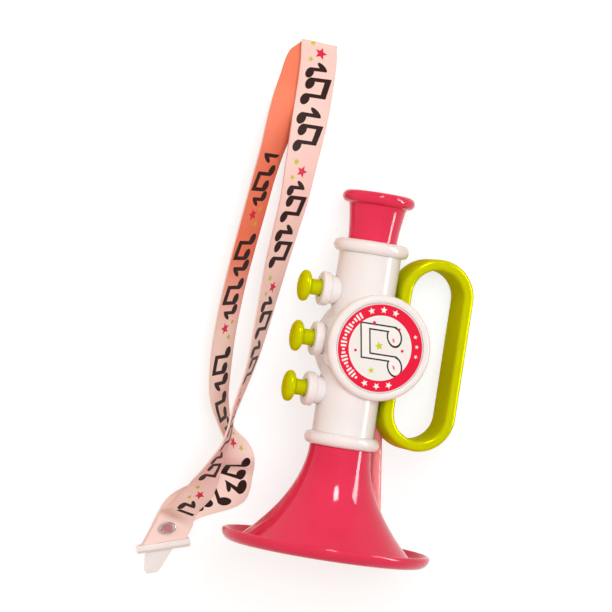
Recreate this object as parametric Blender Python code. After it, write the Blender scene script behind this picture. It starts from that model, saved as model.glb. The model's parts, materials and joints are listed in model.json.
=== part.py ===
"""Toy trumpet with three press buttons, a carrying handle and a ribbon lanyard, in metres.

The trumpet is modelled upright round its own axis: z runs from the bell's rim to the mouthpiece,
x points to the handle, -x to the buttons and -y to the front, where the round badge is.
An empty then lays it on its back on the ground, on the bell's lip, the mouthpiece's rim and the
handle's rear edge. The lanyard lies beside it on the same ground.
"""

from math import cos, pi, sin, sqrt

import bmesh
import bpy
from mathutils import Matrix, Vector

MM = 0.001

# Clearances that all pieces share
SEAT_GAP = 0.3 * MM
STEM_GAP = 0.5 * MM
CUT_OVERRUN = 1.5 * MM
WELD_DISTANCE = 0.002 * MM

# Body tube, split into two shells
TUBE_RADIUS = 17.1 * MM
SHELL_WALL = 2.0 * MM
BULKHEAD_THICKNESS = 2.0 * MM
TUBE_SIDES = 40

# Collars over both ends of the tube
COLLAR_SPACING = 106.5 * MM
COLLAR_HEIGHT = 7.2 * MM
COLLAR_REACH = 3.7 * MM
LID_THICKNESS = 2.0 * MM
COLLAR_SIDES = 36
COLLAR_STEPS = 6

# Bell
BELL_LENGTH = 62.9 * MM
BELL_WALL = 2.0 * MM
BELL_FLARE = 29.1 * MM
BELL_FLARE_POWER = 1.95
BELL_FLARE_STEPS = 8
BELL_SIDES = 48
BELL_SPIGOT_DEPTH = 8.4 * MM
FLARE_END_HEIGHT = 5.0 * MM
LIP_REACH = 11.4 * MM
LIP_HEIGHT = 7.3 * MM
RIM_FACE_WIDTH = 5.0 * MM
# The lip from its gutter over its top and down its outside, as shares of its reach and height
LIP_OUTLINE_SHARES = (
    (0.40, 0.44),
    (0.68, 0.60),
    (0.79, 0.86),
    (0.85, 1.00),
    (0.95, 0.95),
    (1.00, 0.74),
    (0.93, 0.42),
    (0.78, 0.16),
)

# Mouthpiece
MOUTHPIECE_REACH = 30.3 * MM
MOUTH_RIM_RADIUS = 20.0 * MM
MOUTH_RIM_HEIGHT = 6.8 * MM
MOUTH_CUP_RADIUS = 15.8 * MM
MOUTH_CUP_DEPTH = 15.0 * MM
MOUTH_CUP_POWER = 1.5
MOUTH_CUP_STEPS = 5
MOUTH_NECK_RADIUS = 13.5 * MM
MOUTH_WALL = 2.2 * MM
MOUTH_SPIGOT_DEPTH = 3.7 * MM
THROAT_RADIUS = 4.0 * MM
THROAT_LENGTH = 4.0 * MM
MOUTH_SIDES = 32

# Drum with its bezel and badge
DRUM_RADIUS = 27.5 * MM
DRUM_OFFSET = 7.5 * MM
DRUM_BEFORE_HANDLE = 8.6 * MM
DRUM_BEHIND_HANDLE = 4.4 * MM
DRUM_BACK_ROUNDING = 2.0 * MM
DRUM_SIDES = 44
BEZEL_RADIUS = 29.0 * MM
BEZEL_WIDTH = 4.4 * MM
BEZEL_HEIGHT = 6.0 * MM
BADGE_RECESS = 1.8 * MM
BADGE_THICKNESS = 0.9 * MM
BADGE_EDGE = 0.2 * MM

# Handle
HANDLE_LENGTH = 106.0 * MM
HANDLE_OPENING = 29.4 * MM
HANDLE_BAND = 6.0 * MM
HANDLE_DEPTH = 26.0 * MM
HANDLE_ROUNDING = 2.4 * MM
HANDLE_ROUNDING_STEPS = 3
HANDLE_END_STEPS = 14

# Brace between the handle's lower bend and the bell
BRACE_RADIUS = 2.8 * MM
BRACE_X = 20.8 * MM
BRACE_SETBACK = 9.5 * MM
BRACE_LEAN = 0.14
BRACE_SIDES = 16

# Press buttons with their guides, springs and pads
BUTTON_COUNT = 3
BUTTON_SPACING = 27.6 * MM
BUTTON_TRAVEL = 4.5 * MM
BUTTON_LIFT = 6.0 * MM
CAP_RADIUS = 8.5 * MM
CAP_THICKNESS = 5.5 * MM
CAP_ROUNDNESS = 0.8
CAP_STEPS = 8
STEM_RADIUS = 4.35 * MM
STEM_PLUNGE = 3.5 * MM
PIN_RADIUS = 2.5 * MM
GUIDE_REACH = 8.4 * MM
GUIDE_RADIUS = 7.7 * MM
GUIDE_COLLAR_RADIUS = 9.35 * MM
GUIDE_COLLAR_THICKNESS = 5.0 * MM
GUIDE_EDGE = 0.9 * MM
GUIDE_FLOOR = 2.3 * MM
GUIDE_FLANGE_RADIUS = 8.6 * MM
GUIDE_FLANGE_THICKNESS = 1.9 * MM
SPRING_WIRE_RADIUS = 0.4 * MM
SPRING_TURNS = 4.5
SPRING_TURN_STEPS = 8
PAD_RADIUS = 6.2 * MM
PAD_THICKNESS = 2.2 * MM
PAD_SOCKET_DEPTH = 1.4 * MM
BUTTON_SIDES = 20

# Air duct with a vent under each pad
DUCT_RADIUS = 5.5 * MM
DUCT_WALL = 1.5 * MM
DUCT_FLANGE_REACH = 2.0 * MM
DUCT_FLANGE_THICKNESS = 1.5 * MM
DUCT_SIDES = 17
VENT_RADIUS = 4.6 * MM
VENT_BORE_RADIUS = 2.6 * MM
VENT_LENGTH = 1.8 * MM
VENT_SIDES = 14

# Reed plate and its brass reeds
REED_PLATE_HEIGHT = 7.0 * MM
REED_PLATE_WALL = 2.0 * MM
REED_PLATE_FLOOR = 1.8 * MM
REED_PLATE_SIDES = 28
REED_COUNT = 3
REED_SPACING = 5.6 * MM
REED_LENGTH = 13.0 * MM
REED_WIDTH = 3.0 * MM
REED_THICKNESS = 0.3 * MM
REED_ROOT_LENGTH = 3.6 * MM
REED_ROOT_THICKNESS = 0.8 * MM

# Screws that hold the shells together, and their posts
POST_RADIUS = 4.0 * MM
POST_BUTTON_SIDE = 8.7 * MM
POST_HALF_SPACING = 8.0 * MM
POST_SIDES = 12
SCREW_SHANK_RADIUS = 1.3 * MM
SCREW_HEAD_RADIUS = 2.6 * MM
SCREW_HEAD_HEIGHT = 1.9 * MM
SCREW_LENGTH = 15.0 * MM
SCREW_TIP = 1.2 * MM
SCREW_WEB = 6.0 * MM
SCREW_SIDES = 12

# Lanyard: a printed ribbon laid in a loop. Its ends lie over each other at a rivet and a clip
RIBBON_WIDTH = 19.8 * MM
RIBBON_THICKNESS = 1.0 * MM
RIBBON_LAYER_GAP = 0.5 * MM
RIBBON_STEPS = 3
# Where the ribbon's middle runs, in millimetres, with the heading and the tilt of its width
RIBBON_ROUTE = (
    (-94.1, -123.2, 3.4, -19, 0),
    (-90.7, -114.0, 3.4, -19, 0),
    (-87.2, -104.0, 3.4, -22, 0),
    (-84.2, -97.1, 9.8, -26, -40),
    (-81.3, -91.9, 12.0, -26, -49),
    (-76.4, -82.6, 15.0, -24, -54),
    (-70.6, -66.3, 23.8, -20, -70),
    (-66.2, -52.9, 31.1, -19, -75),
    (-63.9, -45.6, 32.5, -10, -80),
    (-62.9, -34.9, 32.4, -7, -86),
    (-61.4, -25.1, 30.3, -11, -82),
    (-56.9, -3.4, 24.1, -9, -77),
    (-54.8, 16.0, 19.7, -6, -69),
    (-53.4, 32.8, 16.8, -5, -63),
    (-51.6, 53.5, 13.5, -6, -54),
    (-49.4, 72.3, 11.8, -7, -48),
    (-47.4, 89.3, 10.6, -5, -42),
    (-46.5, 108.4, 9.1, -3, -33),
    (-45.6, 128.5, 6.8, -2, -18),
    (-45.2, 147.7, 3.5, -0, 0),
    (-45.4, 166.1, 3.5, 2, 0),
    (-46.5, 175.3, 3.5, -4, 0),
    (-46.4, 176.0, 2.9, -4, 0),
    (-46.4, 176.2, 2.2, -4, 0),
    (-46.4, 176.0, 1.5, -4, 0),
    (-46.5, 175.3, 0.9, -4, 0),
    (-52.9, 166.7, 0.9, -14, 0),
    (-55.9, 152.5, 0.9, -11, 0),
    (-59.1, 136.2, 4.9, -12, -24),
    (-62.5, 119.9, 8.2, -10, -47),
    (-65.6, 100.4, 8.9, -8, -54),
    (-68.1, 80.2, 9.0, -7, -55),
    (-70.9, 57.1, 9.1, -6, -56),
    (-73.0, 36.9, 9.2, -5, -57),
    (-74.3, 16.7, 9.2, -2, -57),
    (-74.6, -0.6, 9.2, 1, -57),
    (-73.7, -17.7, 9.5, 5, -60),
    (-72.0, -28.9, 9.9, 16, -66),
    (-67.8, -39.7, 10.5, 25, -76),
    (-63.9, -46.6, 10.6, 29, -78),
    (-59.5, -53.8, 10.4, 25, -74),
    (-57.3, -61.8, 8.2, 11, -47),
    (-57.7, -71.8, 1.0, -4, 0),
    (-56.9, -76.5, 1.0, -17, 0),
    (-57.4, -80.7, 1.0, -35, 0),
    (-61.3, -83.8, 1.0, -53, 0),
    (-69.4, -86.8, 1.0, -66, 0),
    (-79.0, -91.6, 1.2, -55, 0),
    (-85.6, -97.4, 1.5, -39, 0),
    (-88.9, -105.0, 1.9, -22, 0),
    (-91.8, -114.5, 1.9, -19, 0),
    (-95.3, -124.3, 1.9, -19, 0),
)
RIVET_X = -91.0 * MM
RIVET_Y = -107.9 * MM
RIVET_SHANK_RADIUS = 1.9 * MM
RIVET_FLANGE_RADIUS = 3.6 * MM
RIVET_FLANGE_THICKNESS = 1.1 * MM
RIVET_HEAD_RADIUS = 4.4 * MM
RIVET_HEAD_HEIGHT = 1.7 * MM
RIVET_DISH_RADIUS = 3.0 * MM
RIVET_DISH_DEPTH = 0.5 * MM
RIVET_SIDES = 20
CLIP_X = -91.8 * MM
CLIP_Y = -118.9 * MM
CLIP_TURN = 18.0
CLIP_BAR_LENGTH = 30.0 * MM
CLIP_BAR_WIDTH = 4.6 * MM
CLIP_BAR_WALL = 1.6 * MM
CLIP_BAR_SLOPE = 1.5 * MM
CLIP_END_WALL = 1.6 * MM
CLIP_SLOT_DEPTH = 1.8 * MM
CLIP_TONGUE_LENGTH = 12.9 * MM
CLIP_TONGUE_THICKNESS = 2.6 * MM
CLIP_TONGUE_SLOPE = 1.4 * MM
# The tongue's outline seen from above, as shares of half the bar and of the tongue's length
CLIP_TONGUE_SHARES = (
    (-0.60, 0.10),
    (-0.79, -0.18),
    (-0.91, -0.78),
    (-0.82, -1.00),
    (-0.39, -0.97),
    (-0.24, -0.80),
    (0.24, -0.14),
    (0.42, 0.10),
)

# Levels along the trumpet's axis, counted from the bell's rim
LOWER_COLLAR_Z = BELL_LENGTH
UPPER_COLLAR_Z = BELL_LENGTH + COLLAR_SPACING
MIDDLE_Z = (LOWER_COLLAR_Z + UPPER_COLLAR_Z) / 2
SHOULDER_Z = LOWER_COLLAR_Z - COLLAR_HEIGHT / 2
TUBE_BOTTOM = SHOULDER_Z + SEAT_GAP
TUBE_TOP = UPPER_COLLAR_Z + COLLAR_HEIGHT / 2 - LID_THICKNESS - SEAT_GAP
MOUTHPIECE_TOP = UPPER_COLLAR_Z + MOUTHPIECE_REACH
BELL_SPIGOT_TOP = TUBE_BOTTOM + BELL_SPIGOT_DEPTH
LOWER_BULKHEAD_BOTTOM = BELL_SPIGOT_TOP + SEAT_GAP
MOUTH_SPIGOT_BOTTOM = TUBE_TOP - MOUTH_SPIGOT_DEPTH
REED_PLATE_TOP = MOUTH_SPIGOT_BOTTOM - SEAT_GAP
REED_PLATE_BOTTOM = REED_PLATE_TOP - REED_PLATE_HEIGHT
UPPER_BULKHEAD_TOP = REED_PLATE_BOTTOM - SEAT_GAP
BUTTON_LEVELS = [
    MIDDLE_Z + (i - (BUTTON_COUNT - 1) / 2) * BUTTON_SPACING for i in range(BUTTON_COUNT)
]

# Distances from the trumpet's axis towards the buttons
TUBE_BORE = TUBE_RADIUS - SHELL_WALL
GUIDE_FACE = TUBE_RADIUS + GUIDE_REACH
GUIDE_SEAT = sqrt(TUBE_BORE**2 - GUIDE_FLANGE_RADIUS**2)
GUIDE_INNER_END = GUIDE_SEAT - SEAT_GAP - GUIDE_FLANGE_THICKNESS
GUIDE_FLOOR_FACE = GUIDE_INNER_END + GUIDE_FLOOR
STEM_SHOULDER = GUIDE_FACE - STEM_PLUNGE
CAP_UNDERSIDE = GUIDE_FACE + BUTTON_LIFT
PAD_FACE = GUIDE_INNER_END - SEAT_GAP
PAD_BACK = PAD_FACE - PAD_THICKNESS
VENT_FACE = PAD_BACK - BUTTON_TRAVEL - SEAT_GAP
DUCT_X = DUCT_RADIUS + VENT_LENGTH - VENT_FACE

# Places on the drum's face and round the handle
DRUM_FRONT = HANDLE_DEPTH / 2 + DRUM_BEFORE_HANDLE
DRUM_BACK = HANDLE_DEPTH / 2 + DRUM_BEHIND_HANDLE
DRUM_BORE = DRUM_RADIUS - SHELL_WALL
BADGE_SEAT_Y = BADGE_RECESS - DRUM_FRONT
RECESS_RADIUS = BEZEL_RADIUS - BEZEL_WIDTH
HANDLE_NEAR_X = TUBE_RADIUS + 2 * SEAT_GAP
HANDLE_END_RADIUS = HANDLE_OPENING / 2 + HANDLE_BAND
HANDLE_MIDDLE_X = HANDLE_NEAR_X + HANDLE_END_RADIUS
HANDLE_BEND_RISE = HANDLE_LENGTH / 2 - HANDLE_END_RADIUS
POST_HANDLE_SIDE = HANDLE_NEAR_X + HANDLE_BAND + 2 * SEAT_GAP + POST_RADIUS
POST_PLACES = [
    (-POST_BUTTON_SIDE, MIDDLE_Z - BUTTON_SPACING / 2),
    (-POST_BUTTON_SIDE, MIDDLE_Z + BUTTON_SPACING / 2),
    (POST_HANDLE_SIDE, MIDDLE_Z - POST_HALF_SPACING),
    (POST_HANDLE_SIDE, MIDDLE_Z + POST_HALF_SPACING),
]
SCREW_SEAT_Y = SCREW_WEB + SEAT_GAP

# Heights of the lanyard's layers over the ground
LOWER_LAYER = RIVET_FLANGE_THICKNESS + SEAT_GAP
UPPER_LAYER_TOP = LOWER_LAYER + 2 * RIBBON_THICKNESS + RIBBON_LAYER_GAP
CLIP_BAR_HEIGHT = UPPER_LAYER_TOP + SEAT_GAP + CLIP_BAR_WALL

# Colours under plain light
RED = (0.80, 0.045, 0.11, 1)
WHITE = (0.88, 0.84, 0.82, 1)
LIME = (0.60, 0.66, 0.01, 1)
BADGE_PINK = (0.93, 0.03, 0.10, 1)
STEEL = (0.62, 0.62, 0.64, 1)
BRASS = (0.80, 0.60, 0.25, 1)
RIBBON_PINK = (0.94, 0.58, 0.52, 1)
RUBBER = (0.30, 0.30, 0.31, 1)


def clear_scene():
    """Remove whatever the scene holds."""
    for obj in list(bpy.data.objects):
        bpy.data.objects.remove(obj, do_unlink=True)


def material(name, colour, roughness, metallic=0.0):
    """A Principled material of one colour."""
    made = bpy.data.materials.new(name)
    made.use_nodes = True
    shader = made.node_tree.nodes["Principled BSDF"]
    shader.inputs["Base Color"].default_value = colour
    shader.inputs["Roughness"].default_value = roughness
    shader.inputs["Metallic"].default_value = metallic
    made.diffuse_color = colour
    return made


def shade(mesh):
    """Smooth round faces and keep the edges between flat ones sharp."""
    mesh.shade_smooth()
    mesh.set_sharp_from_angle(angle=pi / 5)
    return mesh


def mesh_of(name, work):
    """Close a bmesh into a mesh whose faces point out."""
    bmesh.ops.recalc_face_normals(work, faces=work.faces)
    mesh = bpy.data.meshes.new(name)
    work.to_mesh(mesh)
    work.free()
    return shade(mesh)


def place(name, data, finish, parent, matrix=None):
    """Put a mesh or a curve into the scene as one object under its parent."""
    obj = bpy.data.objects.new(name, data)
    bpy.context.scene.collection.objects.link(obj)
    data.materials.clear()
    data.materials.append(finish)
    obj.parent = parent
    if matrix is not None:
        obj.matrix_local = matrix
    return obj


def empty(name, parent=None, matrix=None):
    """An empty that carries other objects."""
    obj = bpy.data.objects.new(name, None)
    bpy.context.scene.collection.objects.link(obj)
    obj.parent = parent
    if matrix is not None:
        obj.matrix_local = matrix
    return obj


def carved(name, base, steps):
    """A mesh after a run of exact Booleans, each an operation and the mesh it works with.

    Points that fall together are welded after each one, so that the next starts from a clean
    closed mesh.
    """
    mesh = base
    for operation, other in steps:
        target = bpy.data.objects.new(name, mesh)
        tool = bpy.data.objects.new(other.name, other)
        for obj in (target, tool):
            bpy.context.scene.collection.objects.link(obj)
        tool.display_type = "WIRE"
        tool.hide_render = True
        modifier = target.modifiers.new(other.name, "BOOLEAN")
        modifier.operation = operation
        modifier.solver = "EXACT"
        modifier.object = tool
        graph = bpy.context.evaluated_depsgraph_get()
        cut = bpy.data.meshes.new_from_object(target.evaluated_get(graph))
        bpy.data.objects.remove(target, do_unlink=True)
        bpy.data.objects.remove(tool, do_unlink=True)
        work = bmesh.new()
        work.from_mesh(cut)
        bmesh.ops.remove_doubles(work, verts=work.verts, dist=WELD_DISTANCE)
        bmesh.ops.dissolve_degenerate(work, edges=work.edges, dist=WELD_DISTANCE)
        bmesh.ops.triangulate(work, faces=work.faces)
        mesh = mesh_of(name, work)
    return mesh


def report_gap(name, points, skipped, thickness):
    """Print the least gap of a wound wire to itself, from each point to those beyond its neighbours."""
    apart = min(
        (there - here).length
        for i, here in enumerate(points)
        for there in points[i + skipped:]
    )
    print(f"{name}: least gap to itself {(apart - thickness) / MM:.2f} mm")


def arc(centre, radius, start, end, steps):
    """Points on an arc of a profile, its angles in degrees."""
    turns = [(start + (end - start) * i / steps) * pi / 180 for i in range(steps + 1)]
    return [(centre[0] + radius * cos(t), centre[1] + radius * sin(t)) for t in turns]


def lathe(work, profile, sides, matrix):
    """Turn a profile of (radius, height) points round the z axis of the matrix.

    A profile from pole to pole makes a solid, and any other one is closed into a ring.
    """
    rings = []
    for radius, height in profile:
        count = 1 if radius == 0 else sides
        turns = [2 * pi * k / sides for k in range(count)]
        rings.append([
            work.verts.new(matrix @ Vector((radius * cos(t), radius * sin(t), height)))
            for t in turns
        ])
    pairs = list(zip(rings, rings[1:]))
    if len(rings[0]) > 1:
        pairs.append((rings[-1], rings[0]))
    for low, high in pairs:
        for k in range(sides):
            corners = [
                low[k % len(low)],
                low[(k + 1) % len(low)],
                high[(k + 1) % len(high)],
                high[k % len(high)],
            ]
            face = [v for i, v in enumerate(corners) if v not in corners[:i]]
            if len(face) > 2:
                work.faces.new(face)


def turned(name, profile, sides, matrices=(Matrix.Identity(4),)):
    """A mesh of one turned body at each of the matrices."""
    work = bmesh.new()
    for matrix in matrices:
        lathe(work, profile, sides, matrix)
    return mesh_of(name, work)


def rod(low, high, radius):
    """The profile of a plain round rod."""
    return [(0, low), (radius, low), (radius, high), (0, high)]


def box(name, low, high):
    """A box mesh between two corners."""
    work = bmesh.new()
    bmesh.ops.create_cube(work, size=1)
    for vertex in work.verts:
        vertex.co = [low[i] if vertex.co[i] < 0 else high[i] for i in range(3)]
    return mesh_of(name, work)


def extruded(name, outline, direction):
    """A prism from a flat outline of points, extruded along one direction."""
    work = bmesh.new()
    face = work.faces.new([work.verts.new(point) for point in outline])
    made = bmesh.ops.extrude_face_region(work, geom=[face])
    moved = [v for v in made["geom"] if isinstance(v, bmesh.types.BMVert)]
    bmesh.ops.translate(work, verts=moved, vec=direction)
    return mesh_of(name, work)


def towards_buttons(level):
    """Turn a z axis towards the buttons, at one level of the trumpet."""
    return Matrix.Translation((0, 0, level)) @ Matrix.Rotation(-pi / 2, 4, "Y")


def towards_back(x, level):
    """Turn a z axis towards the trumpet's back, at one place of its face."""
    return Matrix.Translation((x, 0, level)) @ Matrix.Rotation(-pi / 2, 4, "X")


def flare_drops():
    """Distances below the bell's shoulder at which the flare has a ring of points."""
    length = SHOULDER_Z - FLARE_END_HEIGHT
    return [length * (i / BELL_FLARE_STEPS) ** 0.8 for i in range(BELL_FLARE_STEPS + 1)]


def bell_radius(drop):
    """Outer radius of the bell at a distance below its shoulder."""
    length = SHOULDER_Z - FLARE_END_HEIGHT
    return TUBE_RADIUS + BELL_FLARE * (drop / length) ** BELL_FLARE_POWER


def bell_hollow(drop):
    """Inner radius there, with the wall measured square to the flare."""
    length = SHOULDER_Z - FLARE_END_HEIGHT
    slope = BELL_FLARE / length * BELL_FLARE_POWER * (drop / length) ** (BELL_FLARE_POWER - 1)
    return bell_radius(drop) - BELL_WALL * sqrt(1 + slope**2)


def make_bell(finish, parent):
    """The flared bell with its upturned lip. Its spigot plugs into the tube's lower end."""
    drops = flare_drops()
    spigot = TUBE_BORE - SEAT_GAP
    lip_start = bell_radius(drops[-1])
    hollow_end = bell_hollow(drops[-1])
    profile = [(spigot, BELL_SPIGOT_TOP), (spigot, SHOULDER_Z)]
    profile += [(bell_radius(d), SHOULDER_Z - d) for d in drops]
    profile += [
        (lip_start + LIP_REACH * out, LIP_HEIGHT * up) for out, up in LIP_OUTLINE_SHARES
    ]
    profile += [(hollow_end + BELL_WALL + RIM_FACE_WIDTH, 0), (hollow_end + BELL_WALL, 0)]
    profile += [(bell_hollow(d), SHOULDER_Z - d) for d in reversed(drops[1:])]
    profile += [(spigot - BELL_WALL, SHOULDER_Z), (spigot - BELL_WALL, BELL_SPIGOT_TOP)]
    return place("bell", turned("bell", profile, BELL_SIDES), finish, parent)


def make_mouthpiece(finish, parent):
    """A cup with a thick rounded rim, a throat, and a neck that plugs through the upper collar."""
    half = MOUTH_RIM_HEIGHT / 2
    rim = (MOUTH_RIM_RADIUS - half, MOUTHPIECE_TOP - half)
    neck_top = UPPER_COLLAR_Z + COLLAR_HEIGHT / 2
    cup_side = MOUTHPIECE_TOP - MOUTH_RIM_HEIGHT - neck_top
    outside = []
    for i in range(MOUTH_CUP_STEPS + 1):
        share = 1 - i / MOUTH_CUP_STEPS
        swell = (MOUTH_CUP_RADIUS - MOUTH_NECK_RADIUS) * share**MOUTH_CUP_POWER
        outside.append((MOUTH_NECK_RADIUS + swell, neck_top + cup_side * share))
    throat_top = MOUTHPIECE_TOP - MOUTH_CUP_DEPTH
    cup_width = rim[0] - half - THROAT_RADIUS
    cup_height = rim[1] - throat_top
    cup = [
        (THROAT_RADIUS + cup_width * sin(t), throat_top + cup_height * (1 - cos(t)))
        for t in [pi / 2 * i / MOUTH_CUP_STEPS for i in range(MOUTH_CUP_STEPS)]
    ]
    profile = arc(rim, half, 180, -60, 8) + outside
    profile += [
        (MOUTH_NECK_RADIUS, MOUTH_SPIGOT_BOTTOM),
        (MOUTH_NECK_RADIUS - MOUTH_WALL, MOUTH_SPIGOT_BOTTOM),
        (THROAT_RADIUS, throat_top - THROAT_LENGTH),
    ]
    mesh = turned("mouthpiece", profile + cup, MOUTH_SIDES)
    return place("mouthpiece", mesh, finish, parent)


def bead(level):
    """The half-round outside of a collar, from its top edge down to its bottom edge."""
    turns = [pi / 2 - pi * i / COLLAR_STEPS for i in range(COLLAR_STEPS + 1)]
    bore = TUBE_RADIUS + SEAT_GAP
    reach = COLLAR_REACH - SEAT_GAP
    return [(bore + reach * cos(t), level + COLLAR_HEIGHT / 2 * sin(t)) for t in turns]


def make_collars(finish, parent):
    """Two beads over the tube's ends, which keep its shells together. The upper one has a lid."""
    lower = turned("lower_collar", bead(LOWER_COLLAR_Z), COLLAR_SIDES)
    place("lower_collar", lower, finish, parent)
    lid_top = UPPER_COLLAR_Z + COLLAR_HEIGHT / 2
    hole = MOUTH_NECK_RADIUS + SEAT_GAP
    profile = bead(UPPER_COLLAR_Z) + [
        (TUBE_RADIUS + SEAT_GAP, lid_top - LID_THICKNESS),
        (hole, lid_top - LID_THICKNESS),
        (hole, lid_top),
    ]
    place("upper_collar", turned("upper_collar", profile, COLLAR_SIDES), finish, parent)


def drum_profile():
    """The drum round its own axis, from the badge's seat over the bezel to its back."""
    crest = -DRUM_FRONT
    shoulder = crest + BEZEL_WIDTH / 2
    back = DRUM_BACK - DRUM_BACK_ROUNDING
    bezel_middle = BEZEL_RADIUS - BEZEL_WIDTH / 2
    bezel = [
        (bezel_middle + BEZEL_WIDTH / 2 * cos(t), shoulder + BEZEL_WIDTH / 2 * sin(t))
        for t in [-pi * 5 / 6 + pi * 5 / 6 * i / 6 for i in range(7)]
    ]
    return (
        [(0, BADGE_SEAT_Y), (RECESS_RADIUS, BADGE_SEAT_Y)]
        + bezel
        + [(BEZEL_RADIUS, crest + BEZEL_HEIGHT * 0.6), (DRUM_RADIUS, crest + BEZEL_HEIGHT)]
        + arc((DRUM_RADIUS - DRUM_BACK_ROUNDING, back), DRUM_BACK_ROUNDING, 0, 90, 3)
        + [(0, DRUM_BACK)]
    )


def screw_hole_profile():
    """Counterbore, clearance hole and pilot hole of one screw, as one cutter."""
    hole = SCREW_SHANK_RADIUS + SEAT_GAP
    head = SCREW_HEAD_RADIUS + SEAT_GAP
    tip = SCREW_SEAT_Y - SCREW_LENGTH - SEAT_GAP
    return [
        (0, tip),
        (hole, tip),
        (hole, SCREW_WEB),
        (head, SCREW_WEB),
        (head, DRUM_BACK + CUT_OVERRUN),
        (0, DRUM_BACK + CUT_OVERRUN),
    ]


def shell_hollow():
    """Everything that is hollow in the housing, as one solid to cut with."""
    drum = [towards_back(DRUM_OFFSET, MIDDLE_Z)]
    posts = [towards_back(x, level) for x, level in POST_PLACES]
    guides = [towards_buttons(level) for level in BUTTON_LEVELS]
    seats = [
        towards_buttons(level)
        for level in BUTTON_LEVELS
        if abs(level - MIDDLE_Z) + GUIDE_FLANGE_RADIUS < DRUM_BORE
    ]
    duct = [Matrix.Translation((DUCT_X, 0, 0))]
    low, high = LOWER_BULKHEAD_BOTTOM, UPPER_BULKHEAD_TOP
    room = rod(low + BULKHEAD_THICKNESS, high - BULKHEAD_THICKNESS, TUBE_BORE)
    drum_bore = rod(BADGE_SEAT_Y + SHELL_WALL, DRUM_BACK - SHELL_WALL, DRUM_BORE)
    post = rod(-DRUM_FRONT, DRUM_BACK, POST_RADIUS)
    guide_hole = rod(0, GUIDE_FACE, GUIDE_RADIUS + SEAT_GAP)
    seat = rod(GUIDE_SEAT, DRUM_RADIUS, GUIDE_RADIUS + SEAT_GAP + SHELL_WALL)
    duct_hole = rod(low - CUT_OVERRUN, high + CUT_OVERRUN, DUCT_RADIUS + SEAT_GAP)
    slots = box(
        "handle_slots",
        (HANDLE_NEAR_X - SEAT_GAP, -HANDLE_DEPTH / 2 - SEAT_GAP, MIDDLE_Z - DRUM_RADIUS),
        (
            HANDLE_NEAR_X + HANDLE_BAND + SEAT_GAP,
            HANDLE_DEPTH / 2 + SEAT_GAP,
            MIDDLE_Z + DRUM_RADIUS,
        ),
    )
    return carved("shell_hollow", turned("room", room, TUBE_SIDES), [
        ("UNION", turned("drum_bore", drum_bore, DRUM_SIDES, drum)),
        ("DIFFERENCE", turned("posts", post, POST_SIDES, posts)),
        ("DIFFERENCE", turned("guide_seats", seat, BUTTON_SIDES, seats)),
        ("UNION", turned("lower_end", rod(0, low, TUBE_BORE), TUBE_SIDES)),
        ("UNION", turned("upper_end", rod(high, MOUTHPIECE_TOP, TUBE_BORE), TUBE_SIDES)),
        ("UNION", turned("guide_holes", guide_hole, BUTTON_SIDES, guides)),
        ("UNION", turned("duct_hole", duct_hole, DUCT_SIDES, duct)),
        ("UNION", slots),
        ("UNION", turned("screw_holes", screw_hole_profile(), SCREW_SIDES, posts)),
    ])


def make_shells(finish, parent):
    """The front and rear shells: one hollow body, parted along the middle of its side."""
    drum = [towards_back(DRUM_OFFSET, MIDDLE_Z)]
    tube = turned("tube", rod(TUBE_BOTTOM, TUBE_TOP, TUBE_RADIUS), TUBE_SIDES)
    hollow = shell_hollow()
    far = BEZEL_RADIUS + DRUM_OFFSET + CUT_OVERRUN
    half_gap = SEAT_GAP / 2
    for name, near, back in (
        ("front_shell", -far, -half_gap),
        ("rear_shell", half_gap, far),
    ):
        side = box(f"{name}_side", (-far, near, 0), (far, back, MOUTHPIECE_TOP))
        mesh = carved(name, tube.copy(), [
            ("UNION", turned("drum", drum_profile(), DRUM_SIDES, drum)),
            ("INTERSECT", side),
            ("DIFFERENCE", hollow.copy()),
        ])
        place(name, mesh, finish, parent)


def make_badge(finish, parent):
    """The round printed plate in the drum's recess."""
    back = BADGE_SEAT_Y - SEAT_GAP
    front = back - BADGE_THICKNESS
    radius = RECESS_RADIUS - SEAT_GAP
    profile = [
        (0, front),
        (radius - BADGE_EDGE, front),
        (radius, front + BADGE_EDGE),
        (radius, back),
        (0, back),
    ]
    mesh = turned("badge", profile, DRUM_SIDES)
    place("badge", mesh, finish, parent, towards_back(DRUM_OFFSET, MIDDLE_Z))


def racetrack(radius, steps):
    """Points and outward directions round the handle, at a radius from its bends' centres."""
    points = []
    for side in (1, -1):
        bend = Vector((HANDLE_MIDDLE_X, 0, MIDDLE_Z + side * HANDLE_BEND_RISE))
        for i in range(steps + 1):
            turn = pi * i / steps
            away = Vector((side * cos(turn), 0, side * sin(turn)))
            points.append((bend + away * radius, away))
    return points


def make_handle(finish, parent):
    """The closed band on the far side from the buttons. Its near bar runs through the drum."""
    half_band = HANDLE_BAND / 2
    half_depth = HANDLE_DEPTH / 2
    section = []
    for out, back, start in ((1, 1, 0), (-1, 1, 90), (-1, -1, 180), (1, -1, 270)):
        centre = (out * (half_band - HANDLE_ROUNDING), back * (half_depth - HANDLE_ROUNDING))
        section += arc(centre, HANDLE_ROUNDING, start, start + 90, HANDLE_ROUNDING_STEPS)
    work = bmesh.new()
    rings = [
        [work.verts.new(point + away * out + Vector((0, back, 0))) for out, back in section]
        for point, away in racetrack(HANDLE_END_RADIUS - half_band, HANDLE_END_STEPS)
    ]
    for ring, following in zip(rings, rings[1:] + rings[:1]):
        for k, vertex in enumerate(ring):
            after = (k + 1) % len(ring)
            work.faces.new((vertex, ring[after], following[after], following[k]))
    place("handle", mesh_of("handle", work), finish, parent)


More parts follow.
